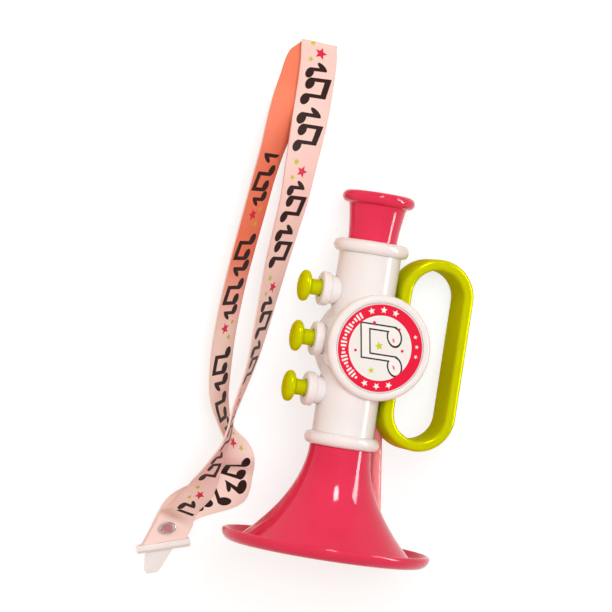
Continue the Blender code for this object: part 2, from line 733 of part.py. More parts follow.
def make_brace(finish, parent):
    """The slim pipe from under the handle's lower bend to the bell, cut to follow both."""
    top = MIDDLE_Z - HANDLE_BEND_RISE
    work = bmesh.new()
    lathe(work, rod(FLARE_END_HEIGHT, top, BRACE_RADIUS), BRACE_SIDES, Matrix.Identity(4))
    for vertex in work.verts:
        vertex.co.x += BRACE_X + BRACE_LEAN * (top - vertex.co.z)
        vertex.co.y += BRACE_SETBACK
    pipe = mesh_of("brace_pipe", work)
    outline = [
        point - Vector((0, HANDLE_DEPTH, 0))
        for point, _ in racetrack(HANDLE_END_RADIUS + SEAT_GAP, HANDLE_END_STEPS)
    ]
    handle_solid = extruded("handle_solid", outline, (0, 2 * HANDLE_DEPTH, 0))
    drops = flare_drops()
    reach = bell_radius(drops[-1]) + LIP_REACH
    profile = [(0, SHOULDER_Z)]
    profile += [(bell_radius(d) + SEAT_GAP, SHOULDER_Z - d) for d in drops]
    profile += [(reach, FLARE_END_HEIGHT), (reach, -CUT_OVERRUN), (0, -CUT_OVERRUN)]
    bell_solid = turned("bell_solid", profile, BELL_SIDES)
    mesh = carved(
        "bell_brace", pipe, [("DIFFERENCE", handle_solid), ("DIFFERENCE", bell_solid)]
    )
    place("bell_brace", mesh, finish, parent)


def guide_mesh():
    """The button's guide: a collar outside, a flange inside the shell and a floor for the spring."""
    bore = STEM_RADIUS + STEM_GAP
    hole = PIN_RADIUS + SEAT_GAP
    flange_face = GUIDE_SEAT - SEAT_GAP
    collar_back = GUIDE_FACE - GUIDE_COLLAR_THICKNESS
    edge = GUIDE_COLLAR_RADIUS - GUIDE_EDGE
    profile = [
        (hole, GUIDE_INNER_END),
        (GUIDE_FLANGE_RADIUS, GUIDE_INNER_END),
        (GUIDE_FLANGE_RADIUS, flange_face),
        (GUIDE_RADIUS, flange_face),
        (GUIDE_RADIUS, collar_back),
        (edge, collar_back),
        (GUIDE_COLLAR_RADIUS, collar_back + GUIDE_EDGE),
        (GUIDE_COLLAR_RADIUS, GUIDE_FACE - GUIDE_EDGE),
        (edge, GUIDE_FACE),
        (bore, GUIDE_FACE),
        (bore, GUIDE_FLOOR_FACE),
        (hole, GUIDE_FLOOR_FACE),
    ]
    return turned("button_guide", profile, BUTTON_SIDES)


def button_mesh():
    """A mushroom cap on a stem, with a thinner pin that carries the pad."""
    half = CAP_THICKNESS / 2
    middle = CAP_UNDERSIDE + half
    cap = []
    for i in range(1, CAP_STEPS):
        turn = pi / 2 - pi * i / CAP_STEPS
        rise = half * abs(sin(turn)) ** CAP_ROUNDNESS
        level = middle + (rise if turn > 0 else -rise)
        cap.append((CAP_RADIUS * cos(turn) ** CAP_ROUNDNESS, level))
    cap = [(r, z) for r, z in cap if z > middle or r > STEM_RADIUS]
    profile = [(0, CAP_UNDERSIDE + CAP_THICKNESS)] + cap
    profile += [
        (STEM_RADIUS, CAP_UNDERSIDE),
        (STEM_RADIUS, STEM_SHOULDER),
        (PIN_RADIUS, STEM_SHOULDER),
        (PIN_RADIUS, PAD_FACE - PAD_SOCKET_DEPTH + SEAT_GAP),
        (0, PAD_FACE - PAD_SOCKET_DEPTH + SEAT_GAP),
    ]
    return turned("button", profile, BUTTON_SIDES)


def pad_mesh():
    """The soft pad on the pin's end, which closes the duct's vent."""
    socket = PIN_RADIUS + SEAT_GAP
    profile = [
        (0, PAD_BACK),
        (PAD_RADIUS, PAD_BACK),
        (PAD_RADIUS, PAD_FACE),
        (socket, PAD_FACE),
        (socket, PAD_FACE - PAD_SOCKET_DEPTH),
        (0, PAD_FACE - PAD_SOCKET_DEPTH),
    ]
    return turned("button_pad", profile, BUTTON_SIDES)


def spring_curve():
    """The return spring round the pin, from the guide's floor to the stem's shoulder."""
    curve = bpy.data.curves.new("button_spring", "CURVE")
    curve.dimensions = "3D"
    curve.bevel_depth = SPRING_WIRE_RADIUS
    curve.bevel_resolution = 1
    curve.use_fill_caps = True
    low = GUIDE_FLOOR_FACE + SEAT_GAP + SPRING_WIRE_RADIUS
    high = STEM_SHOULDER - SEAT_GAP - SPRING_WIRE_RADIUS
    radius = (PIN_RADIUS + STEM_RADIUS + STEM_GAP) / 2
    steps = round(SPRING_TURNS * SPRING_TURN_STEPS)
    wire = curve.splines.new("POLY")
    wire.points.add(steps)
    for i, point in enumerate(wire.points):
        turn = 2 * pi * i / SPRING_TURN_STEPS
        level = low + (high - low) * i / steps
        point.co = (radius * cos(turn), radius * sin(turn), level, 1)
    centres = [point.co.to_3d() for point in wire.points]
    report_gap("spring", centres, SPRING_TURN_STEPS // 2, 2 * SPRING_WIRE_RADIUS)
    return curve


def make_buttons(finishes, parent):
    """Each button with its guide, spring and pad, on its own press axis."""
    guide, button, pad, spring = guide_mesh(), button_mesh(), pad_mesh(), spring_curve()
    for number, level in enumerate(BUTTON_LEVELS, start=1):
        axis = empty(f"press_axis_{number}", parent, towards_buttons(level))
        place(f"button_guide_{number}", guide, finishes["white"], axis)
        place(f"button_{number}", button, finishes["lime"], axis)
        place(f"button_pad_{number}", pad, finishes["rubber"], axis)
        place(f"button_spring_{number}", spring, finishes["steel"], axis)


def make_duct(finish, parent):
    """The inner air duct between the bulkheads, with a vent under each pad."""
    low, high = LOWER_BULKHEAD_BOTTOM, UPPER_BULKHEAD_TOP
    flange = DUCT_RADIUS + DUCT_FLANGE_REACH
    lower_face = low + BULKHEAD_THICKNESS + SEAT_GAP
    upper_face = high - BULKHEAD_THICKNESS - SEAT_GAP
    outside = [
        (0, low),
        (DUCT_RADIUS, low),
        (DUCT_RADIUS, lower_face),
        (flange, lower_face),
        (flange, lower_face + DUCT_FLANGE_THICKNESS),
        (DUCT_RADIUS, lower_face + DUCT_FLANGE_THICKNESS),
        (DUCT_RADIUS, upper_face - DUCT_FLANGE_THICKNESS),
        (flange, upper_face - DUCT_FLANGE_THICKNESS),
        (flange, upper_face),
        (DUCT_RADIUS, upper_face),
        (DUCT_RADIUS, high),
        (0, high),
    ]
    axis = [Matrix.Translation((DUCT_X, 0, 0))]
    vents = [towards_buttons(level) for level in BUTTON_LEVELS]
    bore = rod(low - CUT_OVERRUN, high + CUT_OVERRUN, DUCT_RADIUS - DUCT_WALL)
    vent_bore = rod(-DUCT_X, VENT_FACE + CUT_OVERRUN, VENT_BORE_RADIUS)
    hollow = carved(
        "duct_hollow",
        turned("duct_bore", bore, DUCT_SIDES, axis),
        [("UNION", turned("vent_bores", vent_bore, VENT_SIDES, vents))],
    )
    mesh = carved(
        "air_duct",
        turned("duct", outside, DUCT_SIDES, axis),
        [
            ("UNION", turned("vents", rod(-DUCT_X, VENT_FACE, VENT_RADIUS), VENT_SIDES, vents)),
            ("DIFFERENCE", hollow),
        ],
    )
    place("air_duct", mesh, finish, parent)


def make_reeds(plate_finish, reed_finish, parent):
    """The reed plate over the upper bulkhead, and a brass reed above each of its slots."""
    radius = TUBE_BORE - SEAT_GAP
    inside = radius - REED_PLATE_WALL
    floor_top = REED_PLATE_TOP - REED_ROOT_THICKNESS - 4 * SEAT_GAP
    floor_bottom = floor_top - REED_PLATE_FLOOR
    profile = [
        (0, floor_bottom),
        (inside, floor_bottom),
        (inside, REED_PLATE_BOTTOM),
        (radius, REED_PLATE_BOTTOM),
        (radius, REED_PLATE_TOP),
        (inside, REED_PLATE_TOP),
        (inside, floor_top),
        (0, floor_top),
    ]
    places = [(i - (REED_COUNT - 1) / 2) * REED_SPACING for i in range(REED_COUNT)]
    half_length = REED_LENGTH / 2
    root_end = REED_ROOT_LENGTH - half_length
    slots = bmesh.new()
    for x in places:
        bmesh.ops.create_cube(slots, size=1, matrix=(
            Matrix.Translation((x, (root_end + half_length) / 2 + SEAT_GAP, floor_top))
            @ Matrix.Diagonal((
                REED_WIDTH + 2 * SEAT_GAP,
                half_length - root_end,
                2 * (REED_PLATE_FLOOR + CUT_OVERRUN),
                1,
            ))
        ))
    plate = turned("plate", profile, REED_PLATE_SIDES)
    mesh = carved("reed_plate", plate, [("DIFFERENCE", mesh_of("reed_slots", slots))])
    place("reed_plate", mesh, plate_finish, parent)
    seat = floor_top + SEAT_GAP
    outline = [
        (0, -half_length, seat),
        (0, half_length, seat),
        (0, half_length, seat + REED_THICKNESS),
        (0, root_end, seat + REED_THICKNESS),
        (0, root_end, seat + REED_ROOT_THICKNESS),
        (0, -half_length, seat + REED_ROOT_THICKNESS),
    ]
    reed = extruded("reed", outline, (REED_WIDTH, 0, 0))
    for number, x in enumerate(places, start=1):
        shift = Matrix.Translation((x - REED_WIDTH / 2, 0, 0))
        place(f"reed_{number}", reed, reed_finish, parent, shift)


def make_screws(finish, parent):
    """The self-tapping screws, deep in the rear shell's posts."""
    seat = SCREW_SEAT_Y
    head = SCREW_HEAD_RADIUS
    tip = seat - SCREW_LENGTH
    profile = [
        (0, tip),
        (SCREW_SHANK_RADIUS, tip + SCREW_TIP),
        (SCREW_SHANK_RADIUS, seat),
        (head, seat),
        (head, seat + SCREW_HEAD_HEIGHT / 2),
        (head / 2, seat + SCREW_HEAD_HEIGHT),
        (0, seat + SCREW_HEAD_HEIGHT),
    ]
    screw = turned("shell_screw", profile, SCREW_SIDES)
    for number, (x, level) in enumerate(POST_PLACES, start=1):
        place(f"shell_screw_{number}", screw, finish, parent, towards_back(x, level))


def smooth_route():
    """The ribbon's stations with smooth ones between them, as rows of three metres and two angles."""
    knots = [[v * MM for v in row[:3]] + [v * pi / 180 for v in row[3:]] for row in RIBBON_ROUTE]
    times = [0.0]
    for before, after in zip(knots, knots[1:]):
        times.append(times[-1] + (Vector(after[:3]) - Vector(before[:3])).length)
    last = len(knots) - 1
    slopes = []
    for i in range(last + 1):
        a, b = max(i - 1, 0), min(i + 1, last)
        turning = [(q - p) * (r - q) <= 0 for p, q, r in zip(knots[a], knots[i], knots[b])]
        slopes.append([
            0 if level and k > 1 else (q - p) / (times[b] - times[a])
            for k, (level, p, q) in enumerate(zip(turning, knots[a], knots[b]))
        ])
    rows = []
    for i in range(last):
        span = times[i + 1] - times[i]
        for k in range(RIBBON_STEPS):
            t = k / RIBBON_STEPS
            rows.append([
                p * (1 + 2 * t) * (1 - t) ** 2
                + q * t * t * (3 - 2 * t)
                + span * (m * t * (1 - t) ** 2 - n * t * t * (1 - t))
                for p, q, m, n in zip(knots[i], knots[i + 1], slopes[i], slopes[i + 1])
            ])
    return rows + [knots[last]]


def clip_frame():
    """The clip's place on the ground. Its bar lies along x, and the ribbon's ends enter it from +y."""
    turn = Matrix.Rotation(CLIP_TURN * pi / 180, 4, "Z")
    return Matrix.Translation((CLIP_X, CLIP_Y, 0)) @ turn


def make_ribbon(finish):
    """The ribbon, with both ends cut along the clip's bar and a hole for the rivet."""
    rows = smooth_route()
    middles = [Vector(row[:3]) for row in rows]
    work = bmesh.new()
    rings = []
    for i, (middle, row) in enumerate(zip(middles, rows)):
        along = middles[min(i + 1, len(rows) - 1)] - middles[max(i - 1, 0)]
        heading, tilt = row[3:]
        across = Vector((cos(tilt) * cos(heading), cos(tilt) * sin(heading), sin(tilt)))
        up = along.cross(across).normalized() * RIBBON_THICKNESS / 2
        side = across * RIBBON_WIDTH / 2
        corners = (middle - side - up, middle + side - up, middle + side + up, middle - side + up)
        rings.append([work.verts.new(corner) for corner in corners])
    for ring, following in zip(rings, rings[1:]):
        for k in range(4):
            after = (k + 1) % 4
            work.faces.new((ring[k], ring[after], following[after], following[k]))
    work.faces.new(rings[0])
    work.faces.new(rings[-1])
    frame = clip_frame()
    far = CLIP_BAR_LENGTH
    ends = box("beyond_bar", (-far, -far, -far), (far, CLIP_BAR_WIDTH / 2 - CLIP_SLOT_DEPTH, far))
    ends.transform(frame)
    hole = rod(-CUT_OVERRUN, UPPER_LAYER_TOP + CUT_OVERRUN, RIVET_SHANK_RADIUS + SEAT_GAP)
    place_of_hole = [Matrix.Translation((RIVET_X, RIVET_Y, 0))]
    mesh = carved("lanyard_ribbon", mesh_of("strip", work), [
        ("DIFFERENCE", ends),
        ("DIFFERENCE", turned("rivet_hole", hole, RIVET_SIDES, place_of_hole)),
    ])
    place("lanyard_ribbon", mesh, finish, None)


def make_rivet(finish):
    """The dished rivet through both layers of the ribbon."""
    head = UPPER_LAYER_TOP + SEAT_GAP
    top = head + RIVET_HEAD_HEIGHT
    round_start = RIVET_HEAD_RADIUS - RIVET_HEAD_HEIGHT / 2
    profile = [
        (0, 0),
        (RIVET_FLANGE_RADIUS, 0),
        (RIVET_FLANGE_RADIUS, RIVET_FLANGE_THICKNESS),
        (RIVET_SHANK_RADIUS, RIVET_FLANGE_THICKNESS),
        (RIVET_SHANK_RADIUS, head),
    ]
    profile += arc((round_start, (head + top) / 2), RIVET_HEAD_HEIGHT / 2, -90, 90, 6)
    profile += [
        (RIVET_DISH_RADIUS, top - RIVET_DISH_DEPTH),
        (0, top - RIVET_DISH_DEPTH),
    ]
    mesh = turned("lanyard_rivet", profile, RIVET_SIDES)
    place("lanyard_rivet", mesh, finish, None, Matrix.Translation((RIVET_X, RIVET_Y, 0)))


def sloped(name, outline, height, slope):
    """A flat plate whose sides slope in from the ground, from a convex outline of (x, y) points."""
    middle = [sum(point[i] for point in outline) / len(outline) for i in range(2)]
    reach = max(sqrt((x - middle[0]) ** 2 + (y - middle[1]) ** 2) for x, y in outline)
    shrink = 1 - slope / reach
    work = bmesh.new()
    low = [work.verts.new((x, y, 0)) for x, y in outline]
    high = [
        work.verts.new((
            middle[0] + (x - middle[0]) * shrink,
            middle[1] + (y - middle[1]) * shrink,
            height,
        ))
        for x, y in outline
    ]
    work.faces.new(low)
    work.faces.new(high)
    for k in range(len(low)):
        after = (k + 1) % len(low)
        work.faces.new((low[k], low[after], high[after], high[k]))
    return mesh_of(name, work)


def make_clip(finish):
    """The clip: a bar that grips the ribbon's ends, and a tongue that hooks onto the toy."""
    half_length = CLIP_BAR_LENGTH / 2
    half_width = CLIP_BAR_WIDTH / 2
    section = [
        (-half_length, -half_width, 0),
        (-half_length, half_width, 0),
        (-half_length, half_width, CLIP_BAR_HEIGHT),
        (-half_length, CLIP_BAR_SLOPE - half_width, CLIP_BAR_HEIGHT),
        (-half_length, -half_width, CLIP_BAR_HEIGHT - 2 * CLIP_BAR_SLOPE),
    ]
    bar = extruded("bar", section, (CLIP_BAR_LENGTH, 0, 0))
    outline = [
        (x * half_length, y * CLIP_TONGUE_LENGTH - half_width) for x, y in CLIP_TONGUE_SHARES
    ]
    tongue = sloped("tongue", outline, CLIP_TONGUE_THICKNESS, CLIP_TONGUE_SLOPE)
    slot = box(
        "ribbon_slot",
        (
            CLIP_END_WALL - half_length,
            half_width - CLIP_SLOT_DEPTH - SEAT_GAP,
            LOWER_LAYER - SEAT_GAP,
        ),
        (half_length + CUT_OVERRUN, half_width + CUT_OVERRUN, UPPER_LAYER_TOP + SEAT_GAP),
    )
    mesh = carved("lanyard_clip", bar, [("UNION", tongue), ("DIFFERENCE", slot)])
    place("lanyard_clip", mesh, finish, None, clip_frame())


def laid_back(tilt, roll):
    """The turn that lays the trumpet on its back, its mouthpiece down and its handle down."""
    return Matrix.Rotation(-pi / 2 - tilt, 4, "X") @ Matrix.Rotation(roll, 4, "Z")


def lowest(name, turn):
    """The height of a piece's lowest point once the trumpet is turned."""
    return min((turn @ v.co).z for v in bpy.data.objects[name].data.vertices)


def balance(difference, low, high):
    """The angle between two bounds at which a rising difference is nought."""
    for _ in range(40):
        middle = (low + high) / 2
        if difference(middle) < 0:
            low = middle
        else:
            high = middle
    return (low + high) / 2


def lay_down(axis):
    """Rest the trumpet on its bell, mouthpiece and handle, over the middle of the ground."""
    tilt = balance(
        lambda a: lowest("bell", laid_back(a, 0)) - lowest("mouthpiece", laid_back(a, 0)),
        0,
        pi / 4,
    )
    roll = balance(
        lambda a: lowest("bell", laid_back(tilt, 0)) - lowest("handle", laid_back(tilt, a)),
        0,
        pi / 3,
    )
    axis.matrix_world = laid_back(tilt, roll)
    bpy.context.view_layer.update()
    corners = [
        obj.matrix_world @ Vector(corner)
        for obj in axis.children_recursive
        if obj.type == "MESH"
        for corner in [v.co for v in obj.data.vertices]
    ]
    low, high = (Vector([f(c[i] for c in corners) for i in range(3)]) for f in (min, max))
    middle = (low + high) / 2
    axis.matrix_world = Matrix.Translation((-middle.x, -middle.y, -low.z)) @ axis.matrix_world
    bpy.context.view_layer.update()


def main():
    clear_scene()
    red = material("red gloss plastic", RED, 0.16)
    white = material("white gloss plastic", WHITE, 0.2)
    lime = material("lime gloss plastic", LIME, 0.18)
    badge = material("printed badge", BADGE_PINK, 0.3)
    steel = material("steel", STEEL, 0.3, 1.0)
    brass = material("brass", BRASS, 0.3, 1.0)
    rubber = material("rubber", RUBBER, 0.8)
    woven = material("ribbon", RIBBON_PINK, 0.6)
    axis = empty("trumpet_axis")
    make_bell(red, axis)
    make_mouthpiece(red, axis)
    make_collars(white, axis)
    make_shells(white, axis)
    make_badge(badge, axis)
    make_handle(lime, axis)
    make_brace(red, axis)
    make_buttons({"white": white, "lime": lime, "rubber": rubber, "steel": steel}, axis)
    make_duct(white, axis)
    make_reeds(white, brass, axis)
    make_screws(steel, axis)
    lay_down(axis)
    make_ribbon(woven)
    make_rivet(steel)
    make_clip(white)


main()
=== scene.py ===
# %% [markdown]
# # A toy trumpet with a ribbon lanyard
# A child's plastic trumpet lies on its back beside its lanyard. The red bell and mouthpiece, the
# white housing with its round badge, and the lime handle and buttons are all glossy injection
# mouldings. The lanyard is a printed satin ribbon with a rivet and a clip. This lesson dresses
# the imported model: it keeps every size of it, and makes each surface round, soft and finished.

# %% Tools
import json
from functools import reduce
from math import cos, pi, radians, sin, sqrt

import bmesh
import bpy
from mathutils import Euler, Matrix, Vector

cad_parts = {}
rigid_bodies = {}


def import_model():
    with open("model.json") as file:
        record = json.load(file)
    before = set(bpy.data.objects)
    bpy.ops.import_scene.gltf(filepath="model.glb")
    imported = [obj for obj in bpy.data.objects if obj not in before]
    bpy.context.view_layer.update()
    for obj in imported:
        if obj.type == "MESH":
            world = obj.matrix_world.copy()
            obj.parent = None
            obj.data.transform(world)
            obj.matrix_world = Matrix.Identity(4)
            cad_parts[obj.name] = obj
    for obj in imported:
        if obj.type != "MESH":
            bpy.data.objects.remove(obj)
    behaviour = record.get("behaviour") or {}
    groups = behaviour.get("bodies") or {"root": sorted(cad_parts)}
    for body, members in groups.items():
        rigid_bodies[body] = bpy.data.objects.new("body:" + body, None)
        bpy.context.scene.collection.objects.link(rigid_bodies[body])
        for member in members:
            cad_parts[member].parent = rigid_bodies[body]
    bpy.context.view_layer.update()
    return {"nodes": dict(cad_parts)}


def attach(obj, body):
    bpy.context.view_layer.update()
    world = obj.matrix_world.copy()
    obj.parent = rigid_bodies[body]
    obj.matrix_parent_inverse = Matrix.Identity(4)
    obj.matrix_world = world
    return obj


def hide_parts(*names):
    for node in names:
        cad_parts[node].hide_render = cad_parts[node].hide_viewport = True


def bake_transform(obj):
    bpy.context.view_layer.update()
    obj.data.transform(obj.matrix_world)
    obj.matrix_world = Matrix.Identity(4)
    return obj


MM = 0.001

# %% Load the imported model
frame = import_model()
bpy.ops.object.select_all(action="DESELECT")

# %% [markdown]
# ## The camera
# The picture looks down on the toy from about 1.7 m with a long lens, so round shapes hardly
# widen towards it. The angles and the focal length were solved from the outline of the toy.

# %% Camera
CAMERA_PLACE = (0.000866, 0.341931, 1.674660)
CAMERA_ANGLES = (-10.278816, 2.690773, 8.457060)
FOCAL_LENGTH, SENSOR_WIDTH = 179.41, 36
bpy.ops.object.camera_add(location=CAMERA_PLACE, rotation=[radians(v) for v in CAMERA_ANGLES])
camera = bpy.context.object
camera.data.sensor_width = SENSOR_WIDTH
camera.data.lens = FOCAL_LENGTH
bpy.context.scene.camera = camera
print("camera turned by", [round(v, 3) for v in camera.rotation_euler])

# %% [markdown]
# ## The lanyard's route
# A ribbon is flat, so its route needs more than points: each station has the place of its
# middle, and the heading and tilt of its width. The strands stand on edge where they swing round
# each other, and lie flat at the fold, at the turn and at the clip. Smooth steps between the
# stations come from Hermite curves, which is the usual way to pass through given points.

# %% Stations of the ribbon
RIBBON_WIDTH = 19.8 * MM
RIBBON_THICKNESS = 0.9 * MM
STATION_STEPS = 6
# x, y and z in millimetres, then the width's heading and tilt in degrees
STATIONS = (
    (-94.1, -123.2, 3.4, -19, 0), (-90.7, -114.0, 3.4, -19, 0), (-87.2, -104.0, 3.4, -22, 0),
    (-84.2, -97.1, 9.8, -26, -37), (-81.3, -91.9, 12.0, -26, -44), (-75.9, -82.6, 15.0, -24, -39),
    (-70.2, -66.3, 23.8, -20, -60), (-66.2, -52.9, 31.1, -19, -76), (-63.9, -45.6, 32.5, -10, -80),
    (-62.9, -34.9, 32.4, -7, -86), (-61.4, -25.1, 30.3, -11, -82), (-56.9, -3.4, 24.1, -9, -77),
    (-54.8, 16.0, 19.7, -6, -69), (-53.4, 32.8, 16.8, -5, -63), (-51.6, 53.5, 13.5, -6, -54),
    (-49.4, 72.3, 11.8, -7, -48), (-47.4, 89.3, 10.6, -5, -42), (-46.5, 108.4, 9.1, -3, -33),
    (-45.6, 128.5, 6.8, -2, -18), (-45.2, 147.7, 3.5, 0, 0), (-45.4, 166.1, 3.5, 2, 0),
    (-46.5, 175.3, 3.5, -4, 0), (-46.4, 176.0, 2.9, -4, 0), (-46.4, 176.2, 2.2, -4, 0),
    (-46.4, 176.0, 1.5, -4, 0), (-46.5, 175.3, 0.9, -4, 0), (-52.9, 166.7, 0.9, -14, 0),
    (-55.9, 152.5, 0.9, -11, 0), (-59.1, 136.2, 4.9, -12, -24), (-62.5, 119.9, 8.2, -10, -47),
    (-65.6, 100.4, 8.9, -8, -54), (-68.1, 80.2, 9.0, -7, -55), (-70.9, 57.1, 9.1, -6, -56),
    (-73.0, 36.9, 9.2, -5, -57), (-74.3, 16.7, 9.2, -2, -57), (-74.6, -0.6, 9.2, 1, -57),
    (-73.7, -17.7, 9.5, 5, -60), (-72.0, -28.9, 9.9, 16, -66), (-67.8, -39.7, 10.5, 25, -76),
    (-63.9, -46.6, 10.6, 29, -78), (-59.5, -53.8, 10.4, 25, -54), (-57.3, -61.8, 8.2, 11, -18),
    (-57.7, -71.8, 1.0, -4, 0), (-57.5, -76.5, 1.0, -17, 0), (-58.1, -80.4, 1.0, -35, 0),
    (-61.5, -83.1, 1.0, -53, 0), (-69.4, -86.8, 1.0, -66, 0), (-79.0, -91.6, 1.2, -55, 0),
    (-85.6, -97.4, 1.5, -39, 0), (-88.9, -105.0, 1.9, -22, 0), (-91.8, -114.5, 1.9, -19, 0),
    (-95.3, -124.3, 1.9, -19, 0),
)
print("stations:", len(STATIONS))


# %% Smooth steps between the stations
def smooth_rows(steps):
    """Rows of a middle point, a heading and a tilt, along a Hermite curve through the stations."""
    knots = [[v * MM for v in row[:3]] + [radians(v) for v in row[3:]] for row in STATIONS]
    times = [0.0]
    for before, after in zip(knots, knots[1:]):
        times.append(times[-1] + (Vector(after[:3]) - Vector(before[:3])).length)
    last = len(knots) - 1
    slopes = []
    for i in range(last + 1):
        a, b = max(i - 1, 0), min(i + 1, last)
        turning = [(q - p) * (r - q) <= 0 for p, q, r in zip(knots[a], knots[i], knots[b])]
        slopes.append([
            0 if level and k > 1 else (q - p) / (times[b] - times[a])
            for k, (level, p, q) in enumerate(zip(turning, knots[a], knots[b]))
        ])
    rows = []
    for i in range(last):
        span = times[i + 1] - times[i]
        for k in range(steps):
            t = k / steps
            rows.append([
                p * (1 + 2 * t) * (1 - t) ** 2
                + q * t * t * (3 - 2 * t)
                + span * (m * t * (1 - t) ** 2 - n * t * t * (1 - t))
                for p, q, m, n in zip(knots[i], knots[i + 1], slopes[i], slopes[i + 1])
            ])
    return rows + [knots[last]]


ribbon_rows = smooth_rows(STATION_STEPS)

# %% [markdown]
# ## The ribbon itself
# The ribbon is one strip of quads, woven flat and only bent, so it is built straight from its
# rows: nine points across each. Its UV map counts millimetres across and along, which lets the
# weave and the print follow every twist. A Solidify modifier gives the cloth its thickness, and
# the cut ends stay inside the clip's bar.

# %% Ribbon strip with its UV map
RIBBON_ACROSS = 8
CLIPPED_STATIONS = 4
CLIP_PLACE = Matrix.Translation((-91.8 * MM, -118.9 * MM, 0)) @ Matrix.Rotation(radians(18), 4, "Z")
RIBBON_END = 0.9 * MM


def ribbon_strip(rows):
    """The ribbon's middle surface, its points kept on the ribbon's side of the clip's slot."""
    points, places = [], []
    along = 0.0
    for i, row in enumerate(rows):
        middle, (heading, tilt) = Vector(row[:3]), row[3:]
        if i:
            along += (middle - Vector(rows[i - 1][:3])).length
        across = Vector((cos(tilt) * cos(heading), cos(tilt) * sin(heading), sin(tilt)))
        for k in range(RIBBON_ACROSS + 1):
            share = k / RIBBON_ACROSS - 0.5
            point = CLIP_PLACE.inverted() @ (middle + across * RIBBON_WIDTH * share)
            at_clip = min(i, len(rows) - 1 - i) < CLIPPED_STATIONS * STATION_STEPS
            if at_clip:
                point.y = max(point.y, RIBBON_END)
            points.append(CLIP_PLACE @ point)
            places.append((share * RIBBON_WIDTH / MM, along / MM))
    return points, places


points, places = ribbon_strip(ribbon_rows)
width = RIBBON_ACROSS + 1
quads = [
    (a + k, a + k + 1, a + width + k + 1, a + width + k)
    for a in range(0, len(points) - width, width)
    for k in range(RIBBON_ACROSS)
]
strip = bpy.data.meshes.new("ribbon")
strip.from_pydata(points, [], quads)
uv = strip.uv_layers.new(name="cloth")
for loop in strip.loops:
    uv.data[loop.index].uv = places[loop.vertex_index]
ribbon = bpy.data.objects.new("ribbon", strip)
bpy.context.collection.objects.link(ribbon)
print("ribbon quads:", len(quads))

# %% [markdown]
# ## Helpers for drawing with nodes
# A print is only a few shapes: circles, bars and stars. Each is written as a distance to its edge,
# and a distance turns into ink with one clamp. The class below lets a plain sum make its own
# maths nodes, which keeps the long ones readable.


# %% Maths in a node tree
class Value:
    """A node's output. A sum written with values makes its maths nodes in the same tree."""

    def __init__(self, socket):
        self.socket = socket
        self.tree = socket.id_data

    def calc(self, operation, *others, clamp=False):
        """One maths node on this value and others, which are values or numbers."""
        node = self.tree.nodes.new("ShaderNodeMath")
        node.operation = operation
        node.use_clamp = clamp
        for value, socket in zip((self, *others), node.inputs):
            put(value, socket)
        return Value(node.outputs[0])

    def fit(self, factor, shift):
        """This value times a factor, plus a shift, clamped between 0 and 1."""
        return self.calc("MULTIPLY_ADD", factor, shift, clamp=True)

    def __add__(self, other):
        return self.calc("ADD", other)

    def __sub__(self, other):
        return self.calc("SUBTRACT", other)

    def __mul__(self, other):
        return self.calc("MULTIPLY", other)

    def __mod__(self, other):
        return self.calc("FLOORED_MODULO", other)

    def __abs__(self):
        return self.calc("ABSOLUTE")


def put(value, socket):
    """Link a value to a socket, or set the socket to a number or a colour."""
    if isinstance(value, Value):
        value.tree.links.new(value.socket, socket)
    else:
        socket.default_value = value


def smallest(*values):
    """The smallest of some values. For distances, that is the union of their shapes."""
    return reduce(lambda one, other: one.calc("MINIMUM", other), values)


def largest(*values):
    """The largest of some values. For distances, that is what their shapes have in common."""
    return reduce(lambda one, other: one.calc("MAXIMUM", other), values)


def blended(share, low, high):
    """The colour between two colours, at a share."""
    node = share.tree.nodes.new("ShaderNodeMix")
    node.data_type = "RGBA"
    for value, k in ((share, 0), (low, 6), (high, 7)):
        put(value, node.inputs[k])
    return Value(node.outputs[2])


def noise(place, scale, detail=2.0, distortion=0.0):
    """A noise value, 0 to 1, at a place."""
    node = place.tree.nodes.new("ShaderNodeTexNoise")
    for label, value in (("Vector", place), ("Scale", scale), ("Detail", detail), ("Distortion", distortion)):
        put(value, node.inputs[label])
    return Value(node.outputs["Fac"])


def own_place(tree):
    """The place on the surface, in the object's own coordinates."""
    return Value(tree.nodes.new("ShaderNodeTexCoord").outputs["Object"])


def mapped_place(tree, name):
    """The two coordinates of a UV map."""
    flat = tree.nodes.new("ShaderNodeUVMap")
    flat.uv_map = name
    split = tree.nodes.new("ShaderNodeSeparateXYZ")
    tree.links.new(flat.outputs["UV"], split.inputs[0])
    return Value(split.outputs[0]), Value(split.outputs[1])


def group(name, inputs):
    """A shader node group, its inputs as values by name, and the sockets of its output node."""
    tree = bpy.data.node_groups.new(name, "ShaderNodeTree")
    for label, value in inputs.items():
        kind = "NodeSocketColor" if isinstance(value, tuple) else "NodeSocketFloat"
        socket = tree.interface.new_socket(label, in_out="INPUT", socket_type=kind)
        socket.default_value = value
    for label, kind in (("Colour", "Color"), ("Roughness", "Float"), ("Height", "Float")):
        tree.interface.new_socket(label, in_out="OUTPUT", socket_type=f"NodeSocket{kind}")
    given = {socket.name: Value(socket) for socket in tree.nodes.new("NodeGroupInput").outputs}
    return tree, given, tree.nodes.new("NodeGroupOutput").inputs


# %% [markdown]
# ## Moulded gloss plastic
# Polished mouldings are never quite even: the pigment varies slowly, the skin has the faintest
# orange peel, and handling leaves dull smudges and a few hair scratches. One group makes all four
# for every plastic of the toy, and each material gives it its own colours and polish.

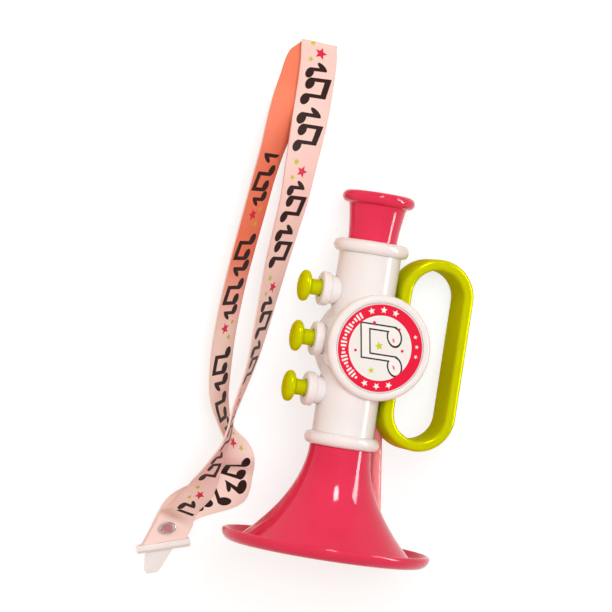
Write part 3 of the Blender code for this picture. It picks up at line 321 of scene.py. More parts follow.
# %% Group for moulded plastic
SURFACE = {"Colour": (0.8, 0.8, 0.8, 1), "Deep": (0.7, 0.7, 0.7, 1), "Polish": 0.2}
moulded, given, result = group("moulded gloss", SURFACE)
place = own_place(moulded)
pigment = noise(place, 32).fit(2.4, -0.9)
smudge = noise(place, 70, 4, 0.8).fit(3.0, -1.5)
hair = abs(noise(place, 160, 6, 3.0) * -22.0 + 11.4).fit(-1.0, 1.0) * smudge
put(blended(pigment, given["Colour"], given["Deep"]), result["Colour"])
put(given["Polish"] + smudge * 0.07 + hair * 0.10, result["Roughness"])
put(noise(place, 420, 3) + hair * -0.5, result["Height"])
print("group:", moulded.name, "with", len(moulded.nodes), "nodes")


# %% A material around a group
def finish(name, tree, colour, deep, bump, fixed, **values):
    """A material whose shader takes a group's outputs and fixed numbers. Values go to the group."""
    made = bpy.data.materials.new(name)
    made.use_nodes = True
    nodes = made.node_tree.nodes
    shader = nodes["Principled BSDF"]
    source = nodes.new("ShaderNodeGroup")
    source.node_tree = tree
    relief = nodes.new("ShaderNodeBump")
    values |= {"Colour": (*colour, 1), "Deep": (*deep, 1)}
    heights = dict(zip(("Strength", "Distance"), bump))
    for node, settings in ((source, values), (relief, heights), (shader, fixed)):
        for label, value in settings.items():
            node.inputs[label].default_value = value
    for node, output, other, label in (
        (source, "Colour", shader, "Base Color"), (source, "Roughness", shader, "Roughness"),
        (source, "Height", relief, "Height"), (relief, "Normal", shader, "Normal"),
    ):
        made.node_tree.links.new(node.outputs[output], other.inputs[label])
    return made


# %% The plastics of the toy
PEEL = (0.12, 0.05 * MM)
SCATTER_LABELS = ("Subsurface Weight", "Subsurface Radius", "Subsurface Scale")


def plastic(name, colour, deep, polish, gloss, scatter=(), metallic=0.0, tint=(1, 1, 1), bump=PEEL):
    """A moulding. Scatter is the share of the light that goes inside it, its radii and its depth."""
    fixed = {"Specular IOR Level": gloss, "Metallic": metallic, "Specular Tint": (*tint, 1)}
    fixed |= dict(zip(SCATTER_LABELS, scatter))
    return finish(name, moulded, colour, deep, bump, fixed, Polish=polish)


red = plastic("red plastic", (0.78, 0.026, 0.088), (0.72, 0.018, 0.070), 0.07, 0.22)
# The brace: red plastic painted pale pink, as a painted highlight.
highlit_red = plastic(
    "red plastic painted pale", (0.95, 0.30, 0.32), (0.91, 0.26, 0.28), 0.12, 0.25, (0.3, (1.0, 0.3, 0.3), 3.0 * MM)
)
white = plastic(
    "white plastic", (0.885, 0.828, 0.835), (0.870, 0.803, 0.805), 0.18, 0.2,
    (0.25, (1.0, 0.45, 0.3), 3.0 * MM),
)
lime = plastic(
    "lime plastic", (0.575, 0.60, 0.002), (0.535, 0.55, 0.002), 0.22, 0.0,
    (0.5, (1.0, 0.75, 0.03), 6.0 * MM), metallic=0.15, tint=(0.80, 0.80, 0.14),
)
clip_white = plastic(
    "clip plastic", (0.93, 0.90, 0.91), (0.91, 0.87, 0.88), 0.2, 0.25, (0.3, (1.0, 0.6, 0.5), 2.0 * MM)
)
rubber = plastic(
    "soft rubber", (0.30, 0.30, 0.31), (0.25, 0.25, 0.26), 0.65, 0.35, bump=(0.5, 0.1 * MM)
)
print("plastics:", [m.name for m in (red, highlit_red, white, lime, clip_white, rubber)])

# %% [markdown]
# ## Metal
# The springs, screws and the rivet are drawn or turned wire and sheet, with fine marks and a few
# dull spots. The rivet's steel is painted darker and pinkish, and its dished middle deep pink, as a
# painted reflection of the ribbon round it. The reeds are brass. All of these are small, so one
# plain group is enough for them.

# %% Group and materials for metal
worked, given, result = group("worked metal", SURFACE)
place = own_place(worked)
spots = noise(place, 260, 3).fit(3.0, -1.2)
put(blended(spots, given["Colour"], given["Deep"]), result["Colour"])
put(spots * 0.12 + given["Polish"], result["Roughness"])
put(noise(place, 1800, 2), result["Height"])
MARKS = (0.15, 0.02 * MM)


def metal(name, colour, deep, polish=0.25, metallic=1.0):
    """A worked metal with fine marks."""
    return finish(name, worked, colour, deep, MARKS, {"Metallic": metallic}, Polish=polish)


steel = metal("steel", (0.66, 0.65, 0.66), (0.50, 0.49, 0.50))
brass = metal("brass", (0.82, 0.62, 0.27), (0.66, 0.46, 0.18))
# The rivet's ring: steel painted darker and pinkish, a painted reflection of the ribbon round it.
bright_steel = metal("bright steel", (0.56, 0.48, 0.47), (0.34, 0.25, 0.24), 0.12)
pink_reflection_steel = metal("steel with painted pink reflection", (0.58, 0.23, 0.22), (0.46, 0.17, 0.16), 0.3, 0.6)
print("metals:", [m.name for m in (steel, brass, bright_steel, pink_reflection_steel)])

# %% [markdown]
# ## Shapes for the prints
# Every shape below is a distance in millimetres, below nought inside. A union is the smaller
# of two distances, an outline is a distance near nought, and ink is a distance that is clamped
# over one to three tenths of a millimetre, which keeps the edge crisp but not jagged.


# %% Distances to simple shapes
def reach(x, y):
    """How far a place is from the middle."""
    return (x * x + y * y).calc("SQRT")


def disc(x, y, at, size, turn=0.0):
    """The distance to an ellipse."""
    c, s = cos(radians(turn)), sin(radians(turn))
    dx, dy = x - at[0], y - at[1]
    u = dx * (c / size[0]) + dy * (s / size[0])
    v = dx * (-s / size[1]) + dy * (c / size[1])
    return (reach(u, v) - 1.0) * min(size)


def slab(x, y, at, half, lean=0.0):
    """The distance to a bar, whose y may lean with x."""
    dx = x - at[0]
    dy = y - at[1] - dx * lean
    return largest(abs(dx) - half[0], abs(dy) - half[1])


def star(x, y, at, size):
    """The distance to the edge of a star with five points, one of them along y."""
    inner = 0.46 * size
    dx, dy = x - at[0], y - at[1]
    away = reach(dx, dy)
    fold = (dy.calc("ARCTAN2", dx) - pi / 2).calc("PINGPONG", pi / 5)
    ex, ey = inner * cos(pi / 5) - size, inner * sin(pi / 5)
    length = sqrt(ex * ex + ey * ey)
    px, py = away * fold.calc("COSINE"), away * fold.calc("SINE")
    return px * (ey / length) + py * (-ex / length) - size * ey / length


def ink(shape, soft=0.12):
    """1 inside a shape and 0 outside it, with a soft step at its edge."""
    return shape.fit(-1 / soft, 0.5)


def quavers(x, y, at, size):
    """Two quavers under one beam, as high as size."""
    head, stem = 0.245 * size, 0.065 * size
    feet = ((at[0] - 0.36 * size, at[1] - 0.42 * size), (at[0] + 0.36 * size, at[1] - 0.30 * size))
    heads = [disc(x, y, foot, (head, 0.72 * head), 22) for foot in feet]
    stems = [
        slab(x, y, (foot[0] + head - stem, foot[1] + 0.42 * size), (stem, 0.42 * size)) for foot in feet
    ]
    middle = (at[0] + head - stem, feet[0][1] + 0.84 * size)
    beam = slab(x, y, middle, (0.36 * size + stem, 0.115 * size), 0.17)
    return smallest(*heads, *stems, beam)


def quaver(x, y, at, size):
    """One quaver with its flag."""
    head, stem = 0.26 * size, 0.07 * size
    foot = (at[0] - 0.15 * size, at[1] - 0.36 * size)
    top = (foot[0] + head - stem, foot[1] + 0.80 * size)
    return smallest(
        disc(x, y, foot, (head, 0.72 * head), 22),
        slab(x, y, (top[0], top[1] - 0.40 * size), (stem, 0.40 * size)),
        disc(x, y, (top[0] + 0.14 * size, top[1] - 0.17 * size), (0.27 * size, 0.10 * size), -50),
    )


# %% [markdown]
# ## Ribbon cloth
# Satin ribbon shows fine ribs across its width, firm selvedges and a soft sheen. Both sides are
# pale pink, and near the fold both are painted darker as painted shade: a little on the face, a
# deep salmon on the back, fading out along the ribbon. Dark brown notes and small stars repeat
# along both sides. All of it reads the UV map in millimetres.

# %% Group for the printed ribbon
PRINT_REPEAT = 66.0
RIB_PITCH, WARP_PITCH = 0.55, 0.42
# Painted shade round the fold: full up to 125 mm from it, fading out by 170 mm.
FOLD_AT, FOLD_SHADE_REACH, FOLD_SHADE_FADE = 320.0, 170.0, 45.0
PRINT_MIDDLE, PRINT_REACH, BARE_REACH = 324.0, 292.0, 34.0
cloth_group, given, result = group("printed ribbon", {
    "Colour": (0.9, 0.5, 0.45, 1), "Deep": (0.85, 0.3, 0.2, 1), "Start": 0.0, "Flip": 1.0, "Bare": -99.0,
})
across, along = mapped_place(cloth_group, "cloth")
u, v = across * given["Flip"], (along + given["Start"]) % PRINT_REPEAT
notes = smallest(
    quavers(v, u, (8.0, 0.4), 12.5), quaver(v, u, (20.5, -0.6), 12.0),
    quavers(v, u, (34.0, 0.6), 12.5), quaver(v, u, (46.0, -0.4), 10.5),
) - 0.25
big_star = star(v, u, (55.5, 1.2), 3.6)
small_stars = smallest(star(v, u, (60.6, -3.4), 2.0), star(v, u, (51.8, -4.4), 1.7))
past_ends = abs(along - PRINT_MIDDLE) - PRINT_REACH
bare = largest(past_ends, abs(along - given["Bare"]) * -1.0 + BARE_REACH)
notes, big_star, small_stars = (largest(shape, bare) for shape in (notes, big_star, small_stars))
rib = (along * (2 * pi / RIB_PITCH)).calc("SINE")
warp = (across * (2 * pi / WARP_PITCH)).calc("SINE")
edge = abs(across).fit(2.2, -20.2)
# How much of the painted fold shade a place takes, 1 near the fold and 0 far from it.
deep = abs(along - FOLD_AT).fit(-1 / FOLD_SHADE_FADE, FOLD_SHADE_REACH / FOLD_SHADE_FADE)
dim = cloth_group.nodes.new("ShaderNodeVectorMath")
dim.operation = "SCALE"
put(blended(deep, given["Colour"], given["Deep"]), dim.inputs[0])
put(rib * 0.02 + edge * -0.10 + 0.98, dim.inputs["Scale"])
printed = Value(dim.outputs[0])
for shape, colour in (
    (notes, (0.030, 0.011, 0.009)), (big_star, (0.72, 0.030, 0.075)), (small_stars, (0.55, 0.58, 0.02)),
):
    printed = blended(ink(shape), printed, (*colour, 1))
put(printed, result["Colour"])
put(largest(ink(notes), ink(big_star)) * -0.12 + 0.62, result["Roughness"])
put(rib * 0.5 + warp * 0.35 + edge, result["Height"])
print("group:", cloth_group.name, "with", len(cloth_group.nodes), "nodes")


# %% The two sides of the ribbon
def only(piece):
    """Select one piece and nothing else."""
    bpy.ops.object.select_all(action="DESELECT")
    bpy.context.view_layer.objects.active = piece
    piece.select_set(True)


def modify(piece, kind, **settings):
    """Apply one modifier to a piece."""
    only(piece)
    modifier = piece.modifiers.new("change", kind)
    for name, value in settings.items():
        setattr(modifier, name, value)
    bpy.ops.object.modifier_apply(modifier=modifier.name)


WEAVE = (0.35, 0.06 * MM)
SATIN = {"Sheen Weight": 0.05, "Sheen Roughness": 0.4, "Specular IOR Level": 0.12}
for name, colour, deep, values in (
    # Each side's second colour is painted shade near the fold: a little darker on the face, a deep salmon on
    # the back.
    ("ribbon face", (1.0, 0.75, 0.70), (0.98, 0.67, 0.62), {"Start": 8.0}),
    ("ribbon back", (1.0, 0.77, 0.70), (1.0, 0.25, 0.14), {"Start": 30.0, "Flip": -1.0, "Bare": 352.0}),
):
    ribbon.data.materials.append(finish(name, cloth_group, colour, deep, WEAVE, SATIN, **values))
modify(ribbon, "SOLIDIFY", thickness=RIBBON_THICKNESS, offset=0, material_offset=1)
bpy.ops.object.shade_smooth_by_angle(angle=radians(50))
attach(ribbon, "root")
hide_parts("lanyard_ribbon")
print("ribbon faces:", len(ribbon.data.polygons))

# %% [markdown]
# ## The rivet and the clip
# The ends of the ribbon lie over each other under a metal rivet, and a white clip grips them. The
# rivet is a turned cap with a dished middle, and the clip is a moulded bar with a sloping tongue
# that hooks on to the toy.
#
# Turned pieces are grown ring by ring, as by hand: a circle is added, extruded upwards and scaled
# to the next radius. The function grow does that for a list of radii and heights.

# %% Growing a turned piece
TINY, WELD = 0.001 * MM, 0.002 * MM
SMOOTH_BELOW = 32


def added(name, operator, **settings):
    """A new piece from one of Blender's primitives, with nothing else selected."""
    bpy.ops.object.select_all(action="DESELECT")
    operator(**settings)
    piece = bpy.context.object
    piece.name = piece.data.name = name
    return piece


def edit(piece):
    """Open one piece in edit mode with all of it selected."""
    only(piece)
    bpy.ops.object.mode_set(mode="EDIT")
    bpy.ops.mesh.select_all(action="SELECT")


def lift(height):
    """Extrude what is selected upwards."""
    bpy.ops.mesh.extrude_region_move(TRANSFORM_OT_translate={"value": (0, 0, height)})


def close(piece):
    """Merge the doubles of a piece in edit mode, turn its faces outwards and leave edit mode."""
    bpy.ops.mesh.select_all(action="SELECT")
    bpy.ops.mesh.remove_doubles(threshold=WELD)
    bpy.ops.mesh.normals_make_consistent()
    bpy.ops.object.mode_set(mode="OBJECT")
    bpy.ops.object.transform_apply()
    return piece


def grow(name, profile, sides):
    """Grow a circle along (radius, height) points in millimetres, to its pole or its own start."""
    profile = [(max(radius * MM, TINY), height * MM) for radius, height in profile]
    if profile[0][0] > TINY:
        profile.append(profile[0])
    start, level = profile[0]
    circle = {"vertices": sides, "radius": start, "location": (0, 0, level)}
    piece = added(name, bpy.ops.mesh.primitive_circle_add, **circle)
    edit(piece)
    for (radius, height), (wider, higher) in zip(profile, profile[1:]):
        lift(higher - height)
        share = wider / radius
        bpy.ops.transform.resize(value=(share, share, 1), center_override=(0, 0, higher))
    return close(piece)


def arc(centre, radius, start, end, steps):
    """Points on an arc of a profile, its angles in degrees."""
    turns = [radians(start + (end - start) * i / steps) for i in range(steps + 1)]
    return [(centre[0] + radius * cos(t), centre[1] + radius * sin(t)) for t in turns]


def placed(x, y, z, turn=0.0, axis="Z"):
    """A matrix to a place in millimetres, with a turn in degrees about an axis."""
    return Matrix.Translation((x * MM, y * MM, z * MM)) @ Matrix.Rotation(radians(turn), 4, axis)


def turn(piece, where):
    """Apply a matrix to a finished mesh."""
    only(piece)
    piece.matrix_world = where @ piece.matrix_world
    bpy.ops.object.transform_apply()
    return piece


def coat(piece, material):
    """Give a piece one material."""
    piece.data.materials.clear()
    piece.data.materials.append(material)


def place_and_finish(piece, where, material, node, body="root"):
    """Lay a finished piece in its place, and give it smooth faces, its finish and its body."""
    turn(piece, where)
    bpy.ops.object.shade_smooth_by_angle(angle=radians(SMOOTH_BELOW))
    coat(piece, material)
    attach(piece, body)
    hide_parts(node)
    print(piece.name, len(piece.data.polygons), "faces")

# %% Rivet
RIVET_TOP, DISH_LEVEL, DISH_RADIUS = 6.2, 5.54, 3.1
RIVET_WIDE, RIVET_DEEP = 1.16, 0.78
rivet_profile = [(0, 0), (3.4, 0), (3.6, 0.2), (3.6, 1.1), (1.9, 1.1), (1.9, 4.2)]
rivet_profile += arc((3.55, RIVET_TOP - 0.85), 0.85, -90, 118, 14)
rivet_profile += [(2.9, RIVET_TOP - 0.42), (2.5, RIVET_TOP - 0.62), (1.2, DISH_LEVEL), (0, DISH_LEVEL)]
rivet = grow("rivet", rivet_profile, 64)
edit(rivet)
bpy.ops.transform.resize(value=(RIVET_WIDE, RIVET_DEEP, 1), center_override=(0, 0, 0))
close(rivet)
# Faces of the dished middle, which take the painted pink reflection of the ribbon.
painted_reflection_faces = []
for face in rivet.data.polygons:
    corners = [rivet.data.vertices[i].co for i in face.vertices]
    widest = max(Vector((co.x / RIVET_WIDE, co.y / RIVET_DEEP)).length for co in corners)
    painted_reflection_faces.append(widest < DISH_RADIUS * MM and face.center.z > 5 * MM)
place_and_finish(rivet, placed(-91.0, -107.9, 0, 20), bright_steel, "lanyard_rivet")
rivet.data.materials.append(pink_reflection_steel)
for face, inner in zip(rivet.data.polygons, painted_reflection_faces):
    face.material_index = int(inner)

# %% [markdown]
# ## The clip
# The bar is a block with two bevelled edges and a slot for the ribbon. The tongue is a polygon
# whose points are moved to its outline, extruded and narrowed a little. They are joined with a
# Boolean and softened with a bevel, since moulded edges are never sharp.

# %% Clip bar and tongue
CLIP_HEIGHT, TONGUE_HEIGHT = 6.1, 2.6
TONGUE = (
    (-9.0, -2.0), (-11.85, -4.62), (-13.65, -12.36), (-12.3, -15.2), (-5.85, -14.81),
    (-3.6, -12.62), (3.6, -4.11), (5.6, -2.0),
)


def block(name, low, high):
    """A cube moved and scaled between two corners in millimetres."""
    low, high = [v * MM for v in low], [v * MM for v in high]
    middle = [(a + b) / 2 for a, b in zip(low, high)]
    piece = added(name, bpy.ops.mesh.primitive_cube_add, size=1, location=middle)
    edit(piece)
    bpy.ops.transform.resize(value=[b - a for a, b in zip(low, high)], center_override=middle)
    return close(piece)


def inside(piece):
    """The volume inside a closed mesh, in cubic centimetres."""
    form = bmesh.new()
    form.from_mesh(piece.data)
    volume = form.calc_volume() * 1e6
    form.free()
    return round(volume, 2)


def combine(piece, other, operation, tidy=True):
    """Apply one exact Boolean, weld and triangulate the result, and remove the other mesh.

    A cut that keeps the wrong side shows in the volume, and is then made again.
    """
    blank = piece.data.copy()
    most = inside(piece) + (inside(other) if operation == "UNION" else 0)
    for attempt in range(4):
        modify(piece, "BOOLEAN", operation=operation, solver="EXACT", object=other)
        if 0 < inside(piece) <= most + 0.02:
            break
        print(piece.name, "is cut again")
        piece.data = blank.copy()
    bpy.data.objects.remove(other)
    if tidy:
        edit(piece)
        bpy.ops.mesh.remove_doubles(threshold=WELD)
        bpy.ops.mesh.dissolve_degenerate(threshold=WELD)
        bpy.ops.mesh.quads_convert_to_tris()
        bpy.ops.object.mode_set(mode="OBJECT")


bar = block("clip", (-15.0, -2.3, 0), (15.0, 2.3, CLIP_HEIGHT))
edit(bar)
bpy.ops.mesh.select_all(action="DESELECT")
bpy.ops.mesh.select_mode(type="EDGE")
bpy.ops.object.mode_set(mode="OBJECT")
for side in bar.data.edges:
    ends = [bar.data.vertices[i].co for i in side.vertices]
    side.select = all(end.z > CLIP_HEIGHT / 2 * MM and end.y < 0 for end in ends)
bpy.ops.object.mode_set(mode="EDIT")
bpy.ops.mesh.bevel(offset=1.8 * MM, segments=1)
close(bar)
corners = {"vertices": len(TONGUE), "radius": MM, "fill_type": "NGON"}
tongue = added("tongue", bpy.ops.mesh.primitive_circle_add, **corners)
for point, (x, y) in zip(tongue.data.vertices, TONGUE):
    point.co = (x * MM, y * MM, 0)
edit(tongue)
lift(TONGUE_HEIGHT * MM)
tongue_middle = (-6.5 * MM, -6.5 * MM, TONGUE_HEIGHT * MM)
bpy.ops.transform.resize(value=(0.96, 0.97, 1), center_override=tongue_middle)
combine(bar, close(tongue), "UNION", tidy=False)
combine(bar, block("slot_cut", (-13.4, 0.2, 1.1), (17, 4, 4.2)), "DIFFERENCE", tidy=False)
modify(bar, "BEVEL", width=0.35 * MM, segments=3, limit_method="ANGLE", angle_limit=radians(40))
place_and_finish(bar, CLIP_PLACE, clip_white, "lanyard_clip")

# %% [markdown]
# ## The lanyard
# The ribbon, the rivet and the clip are one loose thing. The ribbon starts in the clip, runs the
# whole loop and comes back into the same clip.

print("lanyard: ribbon, rivet and clip")

# %% [markdown]
# ## How the trumpet lies
# The trumpet is modelled upright, on its own axis: the bell's rim is at the bottom, the
# mouthpiece at the top, the buttons on the left and the handle on the right. One matrix then
# lays every finished piece on the floor, on the bell's lip, the mouthpiece's rim and the handle.

# %% The trumpet's own frame
LAY_ANGLES = (-101.5834774, 15.7558599, -3.1856406)
LAY = placed(-1.07915, -94.70596, 57.55815) @ Euler([radians(v) for v in LAY_ANGLES]).to_matrix().to_4x4()
SEAT_GAP = 0.3
TUBE_RADIUS, TUBE_BORE = 17.1, 15.1
MIDDLE_Z = 116.15


def smoothed(points, steps):
    """A finer outline through the same points, on a Catmull-Rom curve."""
    ends = [points[0], *points, points[-1]]
    finer = []
    for four in zip(ends, ends[1:], ends[2:], ends[3:]):
        for t in [k / steps for k in range(steps)]:
            weights = (2 * t**2 - t - t**3, 2 - 5 * t**2 + 3 * t**3, t + 4 * t**2 - 3 * t**3, t**3 - t**2)
            finer.append(tuple(sum(w * v for w, v in zip(weights, axis)) / 2 for axis in zip(*four)))
    return finer + [points[-1]]


print("the trumpet's axis points to", [round(v, 2) for v in LAY.col[2][:3]])

# %% [markdown]
# ## Bell
# The bell is one moulding: a flare that opens ever faster, a shallow gutter, and a thick lip that
# turns up and rolls over to the rim. Growing it ring by ring keeps the wall closed, with its
# inside and its spigot in one outline. The flare is a power curve, and the wall is measured
# square to it.

# %% Outline of the bell
SHOULDER_Z = 59.3
FLARE_LENGTH, FLARE_GAIN, FLARE_POWER, FLARE_STEPS = 54.3, 29.1, 1.95, 30
BELL_WALL = 2.0
BELL_SIDES = 160
LIP = (
    (48.5, 3.9), (50.76, 3.21), (53.0, 3.55), (53.95, 4.38), (55.1, 6.2), (55.9, 7.2),
    (57.03, 6.94), (57.6, 5.4), (56.8, 3.07), (55.09, 1.17), (52.9, 0.25), (50.31, 0.0),
)


def flare(drop):
    """Outer radius of the bell at a distance below its shoulder."""
    return TUBE_RADIUS + FLARE_GAIN * (drop / FLARE_LENGTH) ** FLARE_POWER


def hollow(drop):
    """Inner radius at the same place."""
    slope = FLARE_GAIN / FLARE_LENGTH * FLARE_POWER * (drop / FLARE_LENGTH) ** (FLARE_POWER - 1)
    return flare(drop) - BELL_WALL * sqrt(1 + slope**2)


drops = [FLARE_LENGTH * (i / FLARE_STEPS) ** 0.85 for i in range(FLARE_STEPS + 1)]
spigot = [(12.8, 68.0), (14.4, 68.0), (14.8, 67.6), (14.8, 59.3), (16.8, 59.3)]
bell_profile = [
    *spigot, (TUBE_RADIUS, SHOULDER_Z - SEAT_GAP), *((flare(d), SHOULDER_Z - d) for d in drops[2:-1]),
    *smoothed([(flare(drops[-1]), SHOULDER_Z - drops[-1]), *LIP], 4),
    *smoothed([(45.9, 0.0), (45.2, 0.3), (44.3, 2.2)], 3),
    *((hollow(d), SHOULDER_Z - d) for d in reversed(drops[2:-1])), (12.8, 58.0),
]
bell = grow("bell_flare", bell_profile, BELL_SIDES)
place_and_finish(bell, LAY, red, "bell")

# %% [markdown]
# ## Mouthpiece
# A child's mouthpiece is a fat ring on a cup: the ring is a torus that the lips rest on, the cup
# tapers to a neck, and the neck plugs through the upper collar. The same growing makes it, with
# an arc for the ring, a power curve for the cup's outside and a quarter ellipse for its inside.

# %% Mouthpiece
CUP_STEPS = 16
shares = [i / CUP_STEPS for i in range(CUP_STEPS + 1)]
cup_outside = [(13.5 + 2.3 * (1 - t) ** 1.5, 173.0 + 19.9 * (1 - t)) for t in shares]
cup_inside = [(4.0 + 9.2 * sin(pi / 2 * t), 184.7 + 11.6 * (1 - cos(pi / 2 * t))) for t in shares[:-1]]
mouth_profile = arc((16.6, 196.3), 3.4, 180, -68, 30)
mouth_profile += [(16.6, 192.9), (16.05, 192.7), *cup_outside[1:]]
mouth_profile += [(13.5, 167.4), (13.1, 167.0), (11.3, 167.0), (4.0, 180.7), *cup_inside]
mouthpiece = grow("mouth_cup", mouth_profile, 128)
place_and_finish(mouthpiece, LAY, red, "mouthpiece")

# %% [markdown]
# ## Collars
# Two white beads cover the ends of the tube and hold its halves together. Each is a half round on
# a sleeve, a little fuller than a circle, and the upper one carries the lid round the neck. The
# sharp valley between bead and tube shows as the thin dark line of a real moulding.

# %% Collars
COLLAR_HALF, COLLAR_BULGE, COLLAR_BORE = 3.6, 3.4, 17.4
COLLAR_STEPS = 24


def bead(level):
    """The half-round outside of a collar, from its top edge to its bottom edge."""
    turns = [pi / 2 - pi * i / COLLAR_STEPS for i in range(COLLAR_STEPS + 1)]
    bulges = [COLLAR_BULGE * max(cos(t), 0.0) ** 0.9 for t in turns]
    return [(COLLAR_BORE + bulge, level + COLLAR_HALF * sin(t)) for bulge, t in zip(bulges, turns)]


lower_collar = grow("lower_bead", bead(62.9), 128)
place_and_finish(lower_collar, LAY, white, "lower_collar")
lid = [(COLLAR_BORE, 171.0), (13.8, 171.0), (13.8, 172.7), (14.1, 173.0)]
upper_collar = grow("upper_bead", bead(169.4) + lid, 128)
place_and_finish(upper_collar, LAY, white, "upper_collar")

# %% [markdown]
# ## Housing
# The body is one hollow form: a tube with a drum across its middle. It is moulded in two halves
# that part along the sides and are screwed together from the back. So it is modelled whole,
# joined and hollowed with Booleans, and then cut in two with a hairline between the halves.
# The turned pieces stand on the trumpet's axis, and a matrix turns each to its own direction.


# %% Directions in the trumpet's frame
def to_back(x, level):
    """From an upright piece to one that points at the trumpet's back."""
    return placed(x, 0, level, -90, "X")


def to_buttons(level):
    """From an upright piece to one that points at the buttons' side."""
    return placed(0, 0, level, -90, "Y")


def rod(name, low, high, radius, sides, where=Matrix()):
    """A plain round bar between two heights in millimetres, as a blank or a cutter."""
    return turn(grow(name, [(0, low), (radius, low), (radius, high), (0, high)], sides), where)


DRUM = to_back(7.5, MIDDLE_Z)
BUTTON_LEVELS = (88.55, MIDDLE_Z, 143.75)
SCREW_PLACES = ((-8.7, 102.35), (-8.7, 129.95), (28.3, 108.15), (28.3, 124.15))
print("drum axis at", DRUM.translation)

# %% Tube and drum
BEZEL = (
    (24.6, -20.9), (24.8, -21.25), (25.5, -21.5), (26.6, -21.6), (27.7, -21.2), (28.55, -20.3),
    (28.95, -19.1), (28.9, -17.9), (28.5, -16.8), (27.95, -15.9), (27.6, -15.1), (27.5, -14.2),
)
drum_profile = [(0, -19.8), (24.6, -19.8), *smoothed(BEZEL, 3), *arc((25.5, 15.4), 2.0, 0, 90, 10), (0, 17.4)]
TUBE_LOW, TUBE_HIGH = 59.6, 170.7
housing = rod("housing", TUBE_LOW, TUBE_HIGH, TUBE_RADIUS, 127)
combine(housing, turn(grow("drum", drum_profile, 159), DRUM), "UNION")
print("housing blank:", len(housing.data.polygons), "faces,", inside(housing), "cm3")

# %% Room inside, guide holes, handle slots and screw holes
ROOM_LOW, ROOM_HIGH, BULKHEAD, PAST_END = 70.3, 157.4, 2.0, 20
DRUM_BORE, POST_RADIUS, GUIDE_HOLE, HEAD_HOLE, SHANK_HOLE = 25.5, 4.0, 8.0, 2.9, 1.6
room = rod("room", ROOM_LOW, ROOM_HIGH, TUBE_BORE, 95)
combine(room, rod("drum_room", -17.8, 15.4, DRUM_BORE, 97, DRUM), "UNION")
for x, level in SCREW_PLACES:
    combine(room, rod("post", -22, 18, POST_RADIUS, 31, to_back(x, level)), "DIFFERENCE")
for low, high in ((TUBE_LOW - PAST_END, ROOM_LOW - BULKHEAD), (ROOM_HIGH + BULKHEAD, TUBE_HIGH + PAST_END)):
    combine(room, rod("open_end", low, high, TUBE_BORE, 95), "UNION")
for level in BUTTON_LEVELS:
    combine(room, rod("guide_hole", 1, 26.5, GUIDE_HOLE, 63, to_buttons(level)), "UNION")
combine(room, block("slots", (17.4, -13.3, 88.65), (24.0, 13.3, 143.65)), "UNION")
for x, level in SCREW_PLACES:
    combine(room, rod("head_hole", 6.0, 20.0, HEAD_HOLE, 33, to_back(x, level)), "UNION")
    combine(room, rod("shank_hole", -9.0, 7.0, SHANK_HOLE, 23, to_back(x, level)), "UNION")
print("room:", inside(room), "cm3")


# %% Two halves
def copied(piece, name):
    """A copy of a piece with a mesh of its own."""
    only(piece)
    bpy.ops.object.duplicate()
    other = bpy.context.object
    other.name = other.data.name = name
    return other


def drop_blanks(*pieces):
    """Remove pieces that were only there to be copied."""
    for piece in pieces:
        bpy.data.objects.remove(piece)


HALF_GAP = 0.12
for name, near, back in (("front", -60, -HALF_GAP), ("rear", HALF_GAP, 60)):
    half = copied(housing, f"{name}_half")
    combine(half, block("side", (-60, near, 0), (60, back, 220)), "INTERSECT")
    combine(half, copied(room, "room_copy"), "DIFFERENCE")
    print(half.name, inside(half), "cm3")
    place_and_finish(half, LAY, white, f"{name}_shell")
drop_blanks(housing, room)

# %% [markdown]
# ## Handle
# The handle is a closed band with softly rounded edges. A plane is scaled to the band's section,
# its corners are bevelled, and the open section is extruded along the bars and spun round the
# bends. The last spin ends where the first bar began.

# %% Handle
BEND_X, BEND_LOW, BEND_HIGH = 38.4, 83.85, 148.45
BAND_THICK, BAND_WIDE, BAND_ROUND = 6, 26, 2.4
section = (20.7 * MM, 0, BEND_LOW * MM)
handle = added("handle_band", bpy.ops.mesh.primitive_plane_add, size=1, location=section)
edit(handle)
bpy.ops.transform.resize(value=(BAND_THICK * MM, BAND_WIDE * MM, 1), center_override=section)
bpy.ops.mesh.bevel(offset=BAND_ROUND * MM, segments=8, affect="VERTICES")
bpy.ops.mesh.select_all(action="SELECT")
bpy.ops.mesh.delete(type="ONLY_FACE")
bpy.ops.mesh.select_all(action="SELECT")
for start, end in ((BEND_LOW, BEND_HIGH), (BEND_HIGH, BEND_LOW)):
    lift((end - start) * MM)
    bpy.ops.mesh.spin(steps=48, angle=pi, center=(BEND_X * MM, 0, end * MM), axis=(0, -1, 0))
close(handle)
place_and_finish(handle, LAY, lime, "handle")

# %% [markdown]
# ## Brace
# A slim pipe props the handle's lower bend on the bell. Its pale pink is red plastic painted
# lighter as a painted highlight. It leans outwards, and both ends follow what they touch, so it is
# cut by the bend's cylinder and by the flare itself.

# %% Brace
BRACE_X, BRACE_SETBACK, BRACE_LEAN, BRACE_RADIUS = 20.0 * MM, 9.5 * MM, 0.14, 3.1
brace = rod("brace_pipe", 5.0, BEND_LOW, BRACE_RADIUS, 48)
for point in brace.data.vertices:
    point.co.x += BRACE_X + BRACE_LEAN * (BEND_LOW * MM - point.co.z)
    point.co.y += BRACE_SETBACK
combine(brace, rod("bend", -30, 30, 21.0, 128, to_back(BEND_X, BEND_LOW)), "DIFFERENCE")
flare_solid = [(0, SHOULDER_Z)] + [(flare(d) + SEAT_GAP, SHOULDER_Z - d) for d in drops]
flare_solid += [(60, 5), (60, -2), (0, -2)]
combine(brace, grow("flare_solid", flare_solid, BELL_SIDES), "DIFFERENCE")
# The brace takes the red plastic painted pale, a painted highlight.
place_and_finish(brace, LAY, highlit_red, "bell_brace")

# %% [markdown]
# ## Guides and buttons
# Each button slides in a white guide with a round-edged collar outside and a flange inside. The
# button is a lime mushroom on a stem. One guide and one button are modelled, and a copy of each,
# with a mesh of its own, goes to every level.

